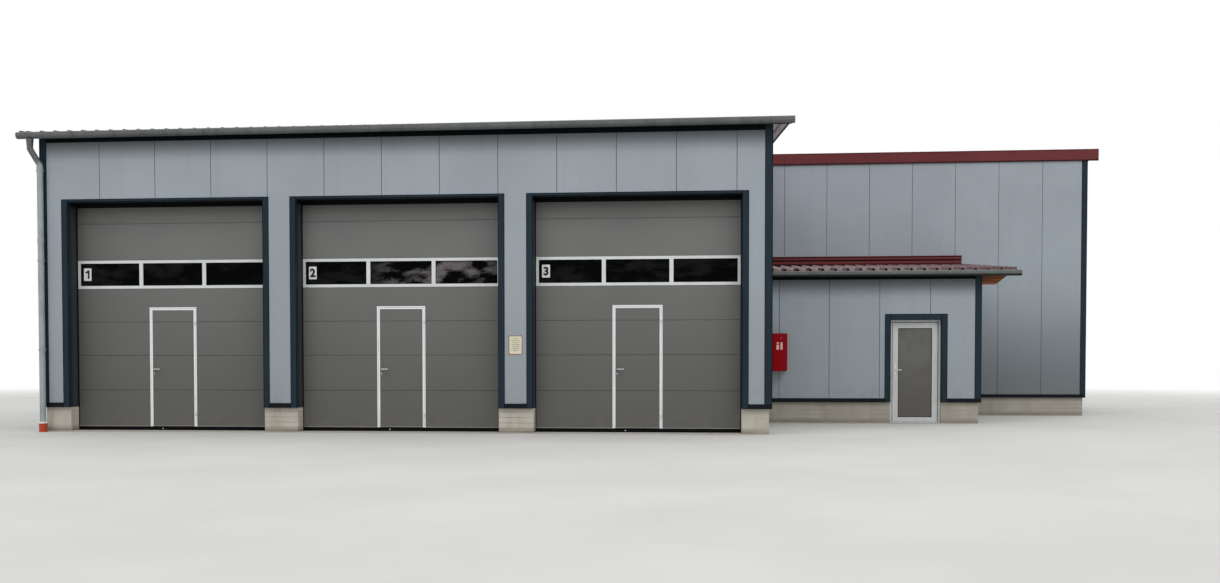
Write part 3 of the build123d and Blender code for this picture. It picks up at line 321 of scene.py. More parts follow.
def glass_material(name):
    """Dark panes with a little dust; dull reflections round the middle gate's right panes."""
    n = Nodes(name)
    dust = n.noise(4.0, 5.0)
    # Painted reflections in dull patches round the middle gate's right panes
    reflection_cloud = n.noise(1.9, 4.0, 0.6, (1.0, 1.0, 2.5))
    aside = n.math("ABSOLUTE", n.math("SUBTRACT", n.axis("X"), REFLECTION_X))
    reflection_patches = n.times(n.span(reflection_cloud, 0.44, 0.62), n.span(aside, *REFLECTION_REACH, 0.06, 1.0))
    tone = n.mix(reflection_patches, (3, 4, 3), (104, 99, 102))
    n.colour(n.mix(n.span(dust, 0.55, 0.8, 0.0, 0.1), tone, (34, 37, 36)))
    n.roughness(n.span(dust, 0.3, 0.8, 0.03, 0.12))
    return n.set(specular=0.02).material


def seal_material(name):
    """Rubber: black on the lips and the foot, dull grey on the lining of the jambs."""
    n = Nodes(name)
    cloud = n.noise(8.0, 4.0)
    tone = n.mix(n.span(cloud, 0.4, 0.8, 0.0, 0.6), (8, 8, 9), (15, 15, 15))
    lining = n.times(n.span(n.axis("Y"), *JAMB_LINING_Y), n.span(n.axis("Z"), *JAMB_LINING_Z))
    tone = n.mix(lining, tone, (60, 61, 63))
    n.colour(tone).roughness(n.span(cloud, 0.3, 0.8, 0.75, 0.9))
    return n.bump(n.noise(120.0, 2.0), 0.0002).set(specular=0.1).material


def timber_material(name, base, dark, stretch):
    n = Nodes(name)
    grain = n.noise(9.0, 6.0, 0.6, stretch)
    rings = n.noise(70.0, 3.0, 0.5, (0.2, 1.0, 0.35))
    tone = n.mix(n.span(grain, 0.35, 0.7), base, dark)
    end = n.span(n.math("ABSOLUTE", n.axis("X", "Normal")), 0.4, 0.7)
    n.colour(n.mix(n.times(end, n.span(rings, 0.4, 0.6, 0.2, 0.7)), tone, dark))
    n.roughness(n.span(grain, 0.3, 0.7, 0.5, 0.7))
    return n.bump(grain, 0.0015).material


def plain_material(name, base, dark, rough, coat=0.0, scale=8.0, specular=0.3):
    n = Nodes(name)
    cloud = n.noise(scale, 4.0)
    n.colour(n.mix(n.span(cloud, 0.4, 0.8, 0.0, 0.6), base, dark))
    n.roughness(n.span(cloud, 0.3, 0.8, rough - 0.05, rough + 0.1))
    n.set(specular=specular)
    if coat:
        n.set(coat=coat, coat_roughness=0.15)
    return n.bump(n.noise(120.0, 2.0), 0.0002).material


def infill_material(name):
    """The door's panel, a little browner towards the foot."""
    n = Nodes(name)
    cloud = n.noise(5.0, 4.0)
    tone = n.mix(n.span(cloud, 0.35, 0.75), (103, 103, 98), (96, 95, 90))
    n.colour(n.mix(n.span(n.axis("Z"), *INFILL_LOW, 0.0, 0.8), tone, (88, 83, 79))).set(specular=0.3)
    n.roughness(n.span(cloud, 0.3, 0.8, 0.45, 0.6))
    return n.bump(n.noise(120.0, 3.0), 0.0004).material


MATERIALS = {name: make(name, *values) for make, name, *values in (
    (concrete_material, "concrete"),
    (plain_material, "floor_concrete", (172, 167, 159), (154, 149, 141), 0.8),
    (wall_material, "wall_panel"),
    (roof_material, "roof_sheet"),
    (trim_material, "dark_trim", (31, 44, 53), (36, 50, 60), (24, 34, 41)),
    (timber_material, "timber", (186, 150, 104), (150, 112, 70), (1.0, 1.0, 0.2)),
    (timber_material, "stained_timber", (146, 82, 32), (98, 50, 16), (0.15, 1.0, 2.0)),
    (gate_material, "gate_skin"),
    (metal_material, "aluminium", (216, 219, 219), (202, 205, 205), 0.45, 0.1),
    (glass_material, "glazing"),
    (seal_material, "seal"),
    (metal_material, "galvanised", (160, 163, 165), (128, 131, 134), 0.45),
    (plain_material, "white_frame", (200, 202, 201), (188, 189, 187), 0.4),
    (infill_material, "door_infill"),
    (metal_material, "handle", (215, 217, 217), (190, 193, 193), 0.3, 0.6),
    (zinc_material, "zinc", (84, 87, 86), (100, 104, 102), (58, 60, 60), None, True),
    (plain_material, "clay_pipe", (178, 66, 34), (144, 52, 28), 0.5),
    (plain_material, "red_paint", (146, 2, 16), (128, 1, 11), 0.4, 0.03, 8.0, 0.06),
    (plain_material, "notice", (222, 214, 190), (206, 197, 172), 0.5))}
EAVE_WALL = wall_material("eave_wall", with_eaves=True)
BASE_TRIM = trim_material("base_trim", (15, 20, 25), (19, 25, 30), (9, 12, 15))
DOOR_ALUMINIUM = metal_material("door_aluminium", (242, 244, 246), (230, 233, 235), 0.45, 0.05)
FOOT_METAL = metal_material("foot_metal", (134, 131, 128), (112, 110, 107), 0.5, 0.1)
SHEETING = roof_material("roof_sheeting", pale_back=True)
GLOSSY_SHEETING = roof_material("glossy_sheeting", pale_back=True, sheen=1.0)
BEAD_ZINC = zinc_material("bead_zinc", (60, 63, 62), (72, 75, 74), (40, 42, 42))
PIPE_ZINC = zinc_material("pipe_zinc", (146, 154, 156), (164, 172, 174), (116, 122, 124), PIPE_SHADE)
# Near-black for painted shadow lines and shade, and for the black foam fillers
FOAM_AND_SHADOW_BLACK = plain_material("foam_and_shadow_black", (9, 13, 17), (15, 20, 25), 0.7, specular=0.05)
JOINT_SHADE = plain_material("joint_shade", (66, 72, 77), (56, 62, 66), 0.7, specular=0.1)
LEVER_PLATE = metal_material("lever_plate", (98, 98, 95), (84, 84, 82), 0.45, 0.2)
PALE_PLASTIC = plain_material("pale_plastic", (226, 226, 222), (206, 206, 200), 0.5)
BLACK_INK = plain_material("black_ink", (18, 18, 20), (30, 30, 32), 0.6)
BORDER_INK = plain_material("border_ink", (140, 64, 48), (122, 52, 40), 0.6)
FAINT_INK = plain_material("faint_ink", (168, 176, 148), (150, 160, 132), 0.6)
SIGN_PLASTIC = plain_material("sign_plastic", (232, 190, 186), (206, 150, 148), 0.5, scale=30.0)
DULL_LATCH = plain_material("dull_latch", (150, 66, 76), (120, 40, 50), 0.4, scale=40.0)
# Darker red for the painted shadow round the cabinet's door
SHADED_RED = plain_material("shaded_red", (96, 2, 12), (80, 2, 10), 0.4)
# Darker red-brown for painted shade at the folds of the fascia, the flashing and the verge
ROOF_FOLD_SHADE = plain_material("roof_fold_shade", (40, 16, 18), (32, 12, 14), 0.55, specular=0.1)
FLASHING = plain_material("flashing_sheet", (112, 48, 50), (98, 40, 42), 0.5, specular=0.2)

NODE_MATERIALS = {"front_walls": EAVE_WALL, "headers": EAVE_WALL, "back_wall": EAVE_WALL,
                  "base_trims": BASE_TRIM, "wicket_frames": DOOR_ALUMINIUM, "annex_flashing": FLASHING}
NODE_MATERIALS.update({f"wicket_{number}_edge": DOOR_ALUMINIUM for number in (1, 2, 3)})
for part in frame["record"]["subparts"]:
    node = frame["nodes"][part["node"]]
    node.data.materials.clear()
    node.data.materials.append(NODE_MATERIALS.get(part["node"]) or MATERIALS[part["material_slot"]])


# Mesh building; a form is a pair of lists: vertices and faces
SMOOTH_ANGLE = math.radians(40)


def joined(forms):
    vertices, faces = [], []
    for points, sides in forms:
        start = len(vertices)
        vertices += points
        faces += [tuple(start + index for index in side) for side in sides]
    return vertices, faces


def placed(name, data):
    """A new object in the scene."""
    thing = bpy.data.objects.new(name, data)
    bpy.context.scene.collection.objects.link(thing)
    return thing


def piece(name, forms, slot, material=None, body="building", stands_for=(), smooth=False, bevel=0.0):
    """Make one mesh piece, give it a material, its slot's unless another is given, and let it ride on a body.
    """
    mesh = bpy.data.meshes.new(name)
    vertices, faces = joined(forms)
    mesh.from_pydata(vertices, [], faces)
    work = bmesh.new()
    work.from_mesh(mesh)
    bmesh.ops.recalc_face_normals(work, faces=work.faces)
    if bevel:
        edges = [edge for edge in work.edges if edge.is_manifold and edge.calc_face_angle() > 0.5]
        bmesh.ops.bevel(work, geom=edges, offset=bevel, segments=2, profile=0.6, affect="EDGES")
    work.to_mesh(mesh)
    work.free()
    if smooth:
        mesh.polygons.foreach_set("use_smooth", [True] * len(mesh.polygons))
        mesh.set_sharp_from_angle(angle=SMOOTH_ANGLE)
    mesh.materials.append(material or MATERIALS[slot])
    thing = placed(name, mesh)
    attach(thing, body)
    if stands_for:
        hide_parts(*stands_for)
    return thing


def prism(points, first, last):
    """A closed prism between two copies of an outline; first and last place a point in space."""
    count = len(points)
    vertices = [first(*point) for point in points] + [last(*point) for point in points]
    faces = [tuple(range(count)), tuple(reversed(range(count, 2 * count)))]
    for index in range(count):
        after = (index + 1) % count
        faces.append((index, after, count + after, count + index))
    return vertices, faces


def along_x(points, x0, x1):
    """An outline of (y, z) points drawn out along X."""
    return prism(points, lambda y, z: (x0, y, z), lambda y, z: (x1, y, z))


def along_y(points, y0, y1):
    """An outline of (x, z) points drawn out along Y."""
    return prism(points, lambda x, z: (x, y0, z), lambda x, z: (x, y1, z))


def block(x0, x1, y0, y1, z0, z1):
    return along_y([(x0, z0), (x1, z0), (x1, z1), (x0, z1)], y0, y1)


def rounded(x0, x1, z0, z1, low_radius, high_radius, steps=5):
    """A rectangle's outline with round corners, in the XZ plane."""
    points = []
    corners = ((x1, z0, -1, 1, low_radius, -90), (x1, z1, -1, -1, high_radius, 0),
               (x0, z1, 1, -1, high_radius, 90), (x0, z0, 1, 1, low_radius, 180))
    for x, z, to_x, to_z, radius, start in corners:
        for step in range(steps + 1):
            angle = math.radians(start + 90 * step / steps)
            points.append((x + to_x * radius + radius * math.cos(angle),
                           z + to_z * radius + radius * math.sin(angle)))
    return points


def circle(radius, sides, x=0.0, y=0.0):
    """Points round a circle."""
    angles = [2 * math.pi * k / sides for k in range(sides)]
    return [(x + radius * math.cos(angle), y + radius * math.sin(angle)) for angle in angles]


def disc_y(x, z, radius, y0, y1, sides=12):
    """A short round bar along Y."""
    return along_y(circle(radius, sides, x, z), y0, y1)


def bar_z(x, y, radius, z0, z1, sides=24):
    """A short round bar along Z."""
    return prism(circle(radius, sides, x, y), lambda a, b: (a, b, z0), lambda a, b: (a, b, z1))


def ring_z(x, y, inner, outer, z0, z1, sides=32):
    """A ring round an upright axis."""
    vertices, faces = [], []
    for (far_x, far_y), (near_x, near_y) in zip(circle(outer, sides, x, y), circle(inner, sides, x, y)):
        vertices += [(far_x, far_y, z0), (far_x, far_y, z1), (near_x, near_y, z1), (near_x, near_y, z0)]
    for k in range(sides):
        a, b = 4 * k, 4 * ((k + 1) % sides)
        faces += [(a + i, b + i, b + (i + 1) % 4, a + (i + 1) % 4) for i in range(4)]
    return vertices, faces


def rounded_path(points, radius, steps=7):
    """A path whose inner corners are arcs."""
    corners = [Vector(point) for point in points]
    path = [corners[0]]
    for before, corner, after in zip(corners, corners[1:], corners[2:]):
        back, ahead = (before - corner).normalized(), (after - corner).normalized()
        half = back.angle(ahead) / 2
        reach = radius / math.tan(half)
        centre = corner + (back + ahead).normalized() * (radius / math.sin(half))
        start, end = corner + back * reach - centre, corner + ahead * reach - centre
        turn = start.rotation_difference(end)
        path += [centre + Matrix.Rotation(turn.angle * k / steps, 3, turn.axis) @ start
                 for k in range(steps + 1)]
    return path + [corners[-1]]


def tube(path, radii, sides=24):
    """A closed round bar along a path, with a radius at each point."""
    vertices, faces = [], []
    side = Vector((0, 0, 1)) if abs((path[1] - path[0]).z) < 1e-6 else Vector((1, 0, 0))
    for index, point in enumerate(path):
        ahead = (path[min(index + 1, len(path) - 1)] - path[max(index - 1, 0)]).normalized()
        side = (side - ahead * side.dot(ahead)).normalized()
        other = ahead.cross(side)
        for k in range(sides):
            angle = 2 * math.pi * k / sides
            vertices.append(tuple(point + (side * math.cos(angle) + other * math.sin(angle)) * radii[index]))
    for index in range(len(path) - 1):
        a, b = index * sides, (index + 1) * sides
        faces += [(a + k, a + (k + 1) % sides, b + (k + 1) % sides, b + k) for k in range(sides)]
    faces += [tuple(reversed(range(sides))), tuple(range((len(path) - 1) * sides, len(path) * sides))]
    return vertices, faces


# The building's own measures in the CAD model, in metres
GATE_CENTRES = (-4.090, 0.0, 4.090)
HALF_GATE = 1.750
HALL_FACE, ANNEX_FACE, REAR_FACE = -8.0, -4.0, 0.0
HALL_SIDE, ANNEX_SIDE, REAR_SIDE = 6.335, 10.765, 14.210
HALL_TAN, ANNEX_TAN = math.tan(math.radians(7.15)), math.tan(math.radians(6.6))
HALL_EAVE, ANNEX_EAVE = 5.190, 3.083
HALL_EAVE_LINE, ANNEX_EAVE_LINE = -8.090, -4.110
ROOF_LEFT, HALL_ROOF_RIGHT, REAR_ROOF_RIGHT, ANNEX_ROOF_RIGHT = -6.635, 6.635, 14.450, 11.405
RIB_PITCH, RIB_BASE, RIB_TOP, RIB_LINE = 0.250, 0.064, 0.030, 0.050
ROOF_SHEET, TRIM = 0.0016, 0.004
HALL_TRIM_FACE, ANNEX_TRIM_FACE, REAR_TRIM_FACE = HALL_FACE - TRIM, ANNEX_FACE - TRIM, REAR_FACE - TRIM
HALL_CORNER, ANNEX_CORNER, REAR_CORNER = HALL_SIDE + TRIM, ANNEX_SIDE + TRIM, REAR_SIDE + TRIM
CORNER_LEG = 0.129
OPENING_FOOT, WALL_FOOT = 0.430, 0.512
GATE_TOP, GATE_TRIM_TOP, GATE_TRIM_WIDTH = 4.000, 4.050, 0.110
DOOR_CENTRE, HALF_DOOR, DOOR_TOP, DOOR_TRIM_TOP, DOOR_TRIM_WIDTH = 9.487, 0.500, 2.090, 2.208, 0.118
HALL_TRIM_TOP, ANNEX_TRIM_TOP, REAR_TRIM_TOP = 5.186, 3.080, 5.970
HALL_EAVE_TRIM, ANNEX_EAVE_TRIM = 5.065, 2.903


def hall_under(y):
    return HALL_EAVE + (-HALL_FACE - abs(y)) * HALL_TAN


def annex_under(y):
    return ANNEX_EAVE + (y - ANNEX_FACE) * ANNEX_TAN


# Roof sheets, thin and with hollow ribs, and their screws
GLOSSY_FROM, RIDGE_JOINT = -3.45, 0.001
HALL_ROWS = [-7.85 + 1.9225 * row for row in range(4)]
ANNEX_ROWS = (-3.840, -2.0)
# Washer and head of a screw: radius, low, high, sides
SCREW_FORMS = ((0.011, 0.0, 0.003, 10), (0.0055, 0.003, 0.008, 6))


def rib_middles(x0, x1):
    count = int((x1 - x0 - RIB_BASE) // RIB_PITCH)
    last = (x0 + x1 + count * RIB_PITCH) / 2
    return [last - RIB_PITCH * number for number in range(count, -1, -1)]


def roof_sheet(name, node, x0, x1, y_low, y_high, under, material=SHEETING):
    upper = [(x0, ROOF_SHEET)]
    for middle in rib_middles(x0, x1):
        upper += [(middle - RIB_BASE / 2, ROOF_SHEET), (middle - RIB_TOP / 2, RIB_LINE),
                  (middle + RIB_TOP / 2, RIB_LINE), (middle + RIB_BASE / 2, ROOF_SHEET)]
    upper.append((x1, ROOF_SHEET))
    lower = [(x, z - ROOF_SHEET) for x, z in upper]
    vertices, faces = [], []
    for y in (y_low, y_high):
        vertices += [(x, y, under(y) + z) for x, z in upper + lower]
    n = len(upper)
    for k in range(n - 1):
        faces += [(k, k + 1, 2 * n + k + 1, 2 * n + k), (n + k + 1, n + k, 3 * n + k, 3 * n + k + 1),
                  (k + 1, k, n + k, n + k + 1), (2 * n + k, 2 * n + k + 1, 3 * n + k + 1, 3 * n + k)]
    faces += [(0, 2 * n, 3 * n, n), (n - 1, 2 * n - 1, 4 * n - 1, 3 * n - 1)]
    piece(name, [(vertices, faces)], "roof_sheet", material, stands_for=(node,))


def roof_screws(name, x0, x1, rows, under, tangent):
    """Screws with washers on every rib over the purlins."""
    forms = []
    for y in rows:
        base = under(y) + RIB_LINE
        for x in rib_middles(x0, x1):
            for radius, low, high, sides in SCREW_FORMS:
                forms.append(prism(circle(radius, sides),
                                   lambda a, b: (x + a, y + b, base + b * tangent + low),
                                   lambda a, b: (x + a, y + b, base + b * tangent + high)))
    piece(name, forms, "roof_sheet")


roof_sheet("hall_front_sheeting", "hall_roof_front", ROOF_LEFT, HALL_ROOF_RIGHT,
           HALL_EAVE_LINE, -RIDGE_JOINT, hall_under)
roof_sheet("hall_back_sheeting", "hall_roof_back", ROOF_LEFT, REAR_ROOF_RIGHT,
           -HALL_EAVE_LINE, RIDGE_JOINT, hall_under)
roof_sheet("annex_low_sheeting", "annex_roof", HALL_SIDE, ANNEX_ROOF_RIGHT,
           ANNEX_EAVE_LINE, GLOSSY_FROM, annex_under)
roof_sheet("annex_high_sheeting", "annex_roof", HALL_SIDE, ANNEX_ROOF_RIGHT,
           GLOSSY_FROM, REAR_FACE, annex_under, GLOSSY_SHEETING)
roof_screws("hall_front_screws", ROOF_LEFT, HALL_ROOF_RIGHT, HALL_ROWS, hall_under, HALL_TAN)
roof_screws("hall_back_screws", ROOF_LEFT, REAR_ROOF_RIGHT, [-row for row in HALL_ROWS], hall_under,
            -HALL_TAN)
roof_screws("annex_screws", HALL_SIDE, ANNEX_ROOF_RIGHT, ANNEX_ROWS, annex_under, ANNEX_TAN)

# Downpipes with smooth bends, sockets and clips; heights in the neck are below the gutter's outlet
PIPE_RADIUS, BEND_RADIUS, SOCKET_RADIUS, SOCKET_LENGTH = 0.050, 0.0605, 0.0545, 0.070
OUTLET_X, OUTLET_Y, PIPE_X, PIPE_Y, PIPE_FOOT = -6.410, 8.150, -6.283, 8.075, 0.110
OUTLET_LEVELS = ((-1, 5.0755), (1, 5.0753))
NECK_TOP, NECK_BEND, NECK_FOOT, NECK_SOCKET, LOW_SOCKET = 0.105, 0.170, 0.440, 0.545, 3.30
FUNNEL = ((0.002, 0.060), (0.020, 0.060), (0.090, 0.053), (0.112, 0.0535))
CLIP_RADIUS, CLIP_HEIGHT, CLIP_LEVELS = 0.0535, 0.030, (1.420, 2.970, 4.520)
# Half width, low and high over the clip's foot of its arm, its wall plate and its two ears
CLIP_ARM, CLIP_PLATE, CLIP_EAR = (0.008, 0.007, 0.023), (0.020, -0.010, 0.040), (0.008, 0.004, 0.026)
ARM_SINK, CLIP_PLATE_THICKNESS, CLIP_PLATE_CORNER = 0.002, 0.004, 0.006
EAR_PLACE, EAR_HALF_DEPTH = 0.060, 0.006
COLLAR_RADIUS, COLLAR_FOOT, COLLAR_TOP = 0.071, 0.150, 0.178
pipe_forms, clip_forms, collar_forms = [], [], []
for outward, start in OUTLET_LEVELS:
    outlet, foot = (OUTLET_X, outward * OUTLET_Y), (PIPE_X, outward * PIPE_Y)
    neck = rounded_path([(*outlet, start - NECK_TOP), (*outlet, start - NECK_BEND),
                         (*foot, start - NECK_FOOT), (*foot, PIPE_FOOT)], BEND_RADIUS)
    pipe_forms.append(tube(neck, [PIPE_RADIUS] * len(neck)))
    pipe_forms.append(tube([Vector((*outlet, start - below)) for below, radius in FUNNEL],
                           [radius for below, radius in FUNNEL]))
    for z in (start - NECK_SOCKET, LOW_SOCKET):
        pipe_forms.append(bar_z(*foot, SOCKET_RADIUS, z, z + SOCKET_LENGTH))
    wall = outward * (TRIM - HALL_FACE)
    for z in CLIP_LEVELS:
        clip_forms.append(ring_z(*foot, PIPE_RADIUS, CLIP_RADIUS, z, z + CLIP_HEIGHT))
        half, low, high = CLIP_ARM
        ys = wall, outward * (PIPE_Y - CLIP_RADIUS + ARM_SINK)
        clip_forms.append(block(PIPE_X - half, PIPE_X + half, *ys, z + low, z + high))
        half, low, high = CLIP_PLATE
        ys = wall, wall + outward * CLIP_PLATE_THICKNESS
        clip_forms.append(along_y(rounded(PIPE_X - half, PIPE_X + half, z + low, z + high,
                                          CLIP_PLATE_CORNER, CLIP_PLATE_CORNER), *ys))
        half, low, high = CLIP_EAR
        for x in (PIPE_X - EAR_PLACE, PIPE_X + EAR_PLACE):
            clip_forms.append(block(x - half, x + half, foot[1] - EAR_HALF_DEPTH, foot[1] + EAR_HALF_DEPTH,
                                    z + low, z + high))
    collar_forms.append(ring_z(*foot, PIPE_RADIUS, COLLAR_RADIUS, COLLAR_FOOT, COLLAR_TOP))
piece("downpipe_tubes", pipe_forms, "zinc", PIPE_ZINC, stands_for=("downpipes",), smooth=True)
piece("downpipe_clips", clip_forms, "zinc", PIPE_ZINC, smooth=True)
piece("standpipe_collars", collar_forms, "clay_pipe", PALE_PLASTIC, smooth=True)

# Gutter beads and straps
GUTTER_REACH, BEAD_RADIUS, BEAD_SIDES, BEAD_DROP, BEAD_SHORT = 0.120, 0.009, 14, 0.004, 0.001
STRAP_PITCH, STRAP_FROM, STRAP_TO, STRAP_HALF, STRAP_LOW, STRAP_HIGH = 0.80, 0.003, 0.108, 0.012, 0.001, 0.002
HALL_GUTTER_TOP, HALL_GUTTER_RIGHT, HALL_GUTTER_FALL = 5.195, 6.680, 0.030
ANNEX_GUTTER_TOP, ANNEX_GUTTER_RIGHT = 3.035, 11.482


def tube_x(ends, radius, sides):
    """A straight round bar between two points that lie mainly along X."""
    start, end = ends
    return prism(circle(radius, sides), lambda a, b: (start.x, start.y + a, start.z + b),
                 lambda a, b: (end.x, end.y + a, end.z + b))


def gutter_details(x0, x1, back_y, outward, top, fall):
    """The rolled front bead of a gutter and the straps across it."""
    def level(x):
        return top - fall * (x1 - x) / (x1 - x0)
    bead_y = back_y + outward * (GUTTER_REACH - BEAD_RADIUS)
    ends = [Vector((x, bead_y, level(x) - BEAD_DROP)) for x in (x0 + BEAD_SHORT, x1 - BEAD_SHORT)]
    forms = [tube_x(ends, BEAD_RADIUS, BEAD_SIDES)]
    ys = back_y + outward * STRAP_FROM, back_y + outward * STRAP_TO
    count = int((x1 - x0) // STRAP_PITCH)
    for number in range(count + 1):
        x = (x0 + x1) / 2 + (number - count / 2) * STRAP_PITCH
        forms.append(block(x - STRAP_HALF, x + STRAP_HALF, *ys, level(x) - STRAP_LOW, level(x) + STRAP_HIGH))
    return forms


piece("gutter_beads",
      gutter_details(ROOF_LEFT, HALL_GUTTER_RIGHT, HALL_EAVE_LINE, -1, HALL_GUTTER_TOP, HALL_GUTTER_FALL)
      + gutter_details(ROOF_LEFT, REAR_ROOF_RIGHT, -HALL_EAVE_LINE, 1, HALL_GUTTER_TOP, HALL_GUTTER_FALL)
      + gutter_details(HALL_SIDE, ANNEX_GUTTER_RIGHT, ANNEX_EAVE_LINE, -1, ANNEX_GUTTER_TOP, 0.0),
      "zinc", BEAD_ZINC, smooth=True)

# Painted shadows: near-black lines along the folded edges of the trims
FOLD_WIDTH, FOLD_PROUD = 0.009, 0.0015
fold_shadow_forms = []


def front_folds(x0, x1, y_face, z0, z1):
    """Upright painted shadow lines at both edges of a trim that faces the front."""
    for edge, to in ((x0, 1), (x1, -1)):
        xs = edge, edge + to * FOLD_WIDTH
        fold_shadow_forms.append(block(*xs, y_face - FOLD_PROUD, y_face, z0, z1))


def side_folds(y0, y1, x_face, outward, z0, z1):
    """Upright painted shadow lines at both edges of a trim that faces left or right."""
    for edge, to in ((y0, 1), (y1, -1)):
        ys = edge, edge + to * FOLD_WIDTH
        xs = x_face, x_face + outward * FOLD_PROUD
        fold_shadow_forms.append(block(*xs, *ys, z0, z1))


def opening_folds(centre, half, width, y_face, top, trim_top):
    """The painted shadow lines round an opening, at both edges of its trim and along its head."""
    outer, inner, front = half + width, half - FOLD_WIDTH, y_face - FOLD_PROUD
    for x in (centre - outer, centre + half):
        front_folds(x, x + width, y_face, OPENING_FOOT, trim_top - FOLD_WIDTH)
    fold_shadow_forms.append(block(centre - outer, centre + outer, front, y_face, trim_top - FOLD_WIDTH, trim_top))
    fold_shadow_forms.append(block(centre - inner, centre + inner, front, y_face, top, top + FOLD_WIDTH))


for centre in GATE_CENTRES:
    opening_folds(centre, HALF_GATE, GATE_TRIM_WIDTH, HALL_TRIM_FACE, GATE_TOP, GATE_TRIM_TOP)
opening_folds(DOOR_CENTRE, HALF_DOOR, DOOR_TRIM_WIDTH, ANNEX_TRIM_FACE, DOOR_TOP, DOOR_TRIM_TOP)
for right, y_face, top in ((CORNER_LEG - HALL_CORNER, HALL_TRIM_FACE, HALL_TRIM_TOP),
                           (HALL_CORNER, HALL_TRIM_FACE, HALL_TRIM_TOP),
                           (ANNEX_CORNER, ANNEX_TRIM_FACE, ANNEX_TRIM_TOP),
                           (REAR_CORNER, REAR_TRIM_FACE, REAR_TRIM_TOP)):
    front_folds(right - CORNER_LEG, right, y_face, WALL_FOOT, top)
for side in (-1, 1):
    side_folds(HALL_TRIM_FACE, HALL_TRIM_FACE + CORNER_LEG, side * HALL_CORNER, side, WALL_FOOT,
               HALL_TRIM_TOP)
side_folds(REAR_TRIM_FACE, REAR_TRIM_FACE + CORNER_LEG, REAR_CORNER, 1, WALL_FOOT, REAR_TRIM_TOP)
piece("trim_fold_shadows", fold_shadow_forms, "dark_trim", FOAM_AND_SHADOW_BLACK)

# Fillers between the ribs under the flashing's foot, as far as the flashing reaches
FLASHING_FOOT, FILLER, FILLER_FOOT, FILLER_TOP = -0.150, 0.006, 0.026, 0.0495
RIB_HALF_SPACE = 0.029
flashing_level = annex_under(FLASHING_FOOT)
annex_ribs = rib_middles(HALL_SIDE, ANNEX_ROOF_RIGHT)[:-1]
piece("flashing_fillers",
      [block(left + RIB_HALF_SPACE, right - RIB_HALF_SPACE, FLASHING_FOOT, FLASHING_FOOT + FILLER,
             flashing_level + FILLER_FOOT, flashing_level + FILLER_TOP)
       for left, right in zip(annex_ribs, annex_ribs[1:])], "roof_sheet", FOAM_AND_SHADOW_BLACK)

# Painted shade: dark lines at the folds of the rear fascia and the annex flashing (y from, y to, z from, z
# to), and at the verge's edge
FASCIA_SPAN, FLASHING_SPAN = (6.645, 14.448), (6.345, 11.343)
FASCIA_TOP_FOLD = (-0.0325, -0.030, 6.226, 6.232)
FLASHING_FOLDS = ((-0.0155, -0.014, 3.758, 3.782), (-0.0155, -0.014, 3.7015, 3.716),
                  (-0.0055, -0.004, 3.676, 3.7005), (-0.0055, -0.004, 3.603, 3.622))
VERGE_LOW, VERGE_HIGH, VERGE_END = 0.025, 0.002, -0.002
verge_edge = [(y, hall_under(y) - drop)
              for y, drop in ((HALL_EAVE_LINE, VERGE_LOW), (VERGE_END, VERGE_LOW),
                              (VERGE_END, VERGE_HIGH), (HALL_EAVE_LINE, VERGE_HIGH))]
piece("fascia_fold_shades",
      [along_x([(-0.0335, 5.9785), (-0.030, 5.9785), (-0.030, 6.004), (-0.0320, 6.004)], *FASCIA_SPAN),
       block(*FASCIA_SPAN, *FASCIA_TOP_FOLD)]
      + [block(*FLASHING_SPAN, *fold) for fold in FLASHING_FOLDS]
      + [along_x(verge_edge, HALL_ROOF_RIGHT - FOLD_PROUD, HALL_ROOF_RIGHT)], "roof_sheet", ROOF_FOLD_SHADE)

# Painted shade under the gutters: near-black strips over the eave trims and, on the hall, a little way down
# the wall below them
EAVE_SHADE_FOOT, ANNEX_EAVE_SHADE_LEFT, ANNEX_EAVE_SHADE_TOP = 5.034, 6.345, 3.078
eave_shade_forms = []
for outward, right in ((-1, HALL_CORNER - CORNER_LEG), (1, REAR_CORNER - CORNER_LEG)):
    for behind, z0, z1 in ((TRIM, HALL_EAVE_TRIM, HALL_TRIM_TOP),
                           (0.0, EAVE_SHADE_FOOT, HALL_EAVE_TRIM)):
        ys = outward * (behind - HALL_FACE), outward * (TRIM + FOLD_PROUD - HALL_FACE)
        eave_shade_forms.append(block(CORNER_LEG - HALL_CORNER, right, *ys, z0, z1))
eave_shade_forms.append(block(ANNEX_EAVE_SHADE_LEFT, ANNEX_CORNER - CORNER_LEG, ANNEX_TRIM_FACE - FOLD_PROUD,
                          ANNEX_TRIM_FACE, ANNEX_EAVE_TRIM, ANNEX_EAVE_SHADE_TOP))
piece("eave_shade_strips", eave_shade_forms, "dark_trim", FOAM_AND_SHADOW_BLACK)

# Shaded seals in the wall joints
JOINT_HALF, JOINT_IN, JOINT_BACK = 0.005, 0.005, 0.006
HALL_FIRST_JOINT, REAR_FIRST_JOINT, ANNEX_FIRST_JOINT = -5.250, 7.193, 6.765
OVER_GATES, OVER_ANNEX, UNDER_FASCIA, PURLIN_SPACE = 4.054, 3.80, 5.9775, 0.300
joint_forms = []


def joint_front(x, y_face, outward, z0, z1):
    ys = y_face - outward * JOINT_IN, y_face - outward * JOINT_BACK
    joint_forms.append(block(x - JOINT_HALF, x + JOINT_HALF, *ys, z0, z1))


def joint_side(y, x_face, outward, top):
    xs = x_face - outward * JOINT_IN, x_face - outward * JOINT_BACK
    joint_forms.append(block(*xs, y - JOINT_HALF, y + JOINT_HALF, WALL_FOOT, top))


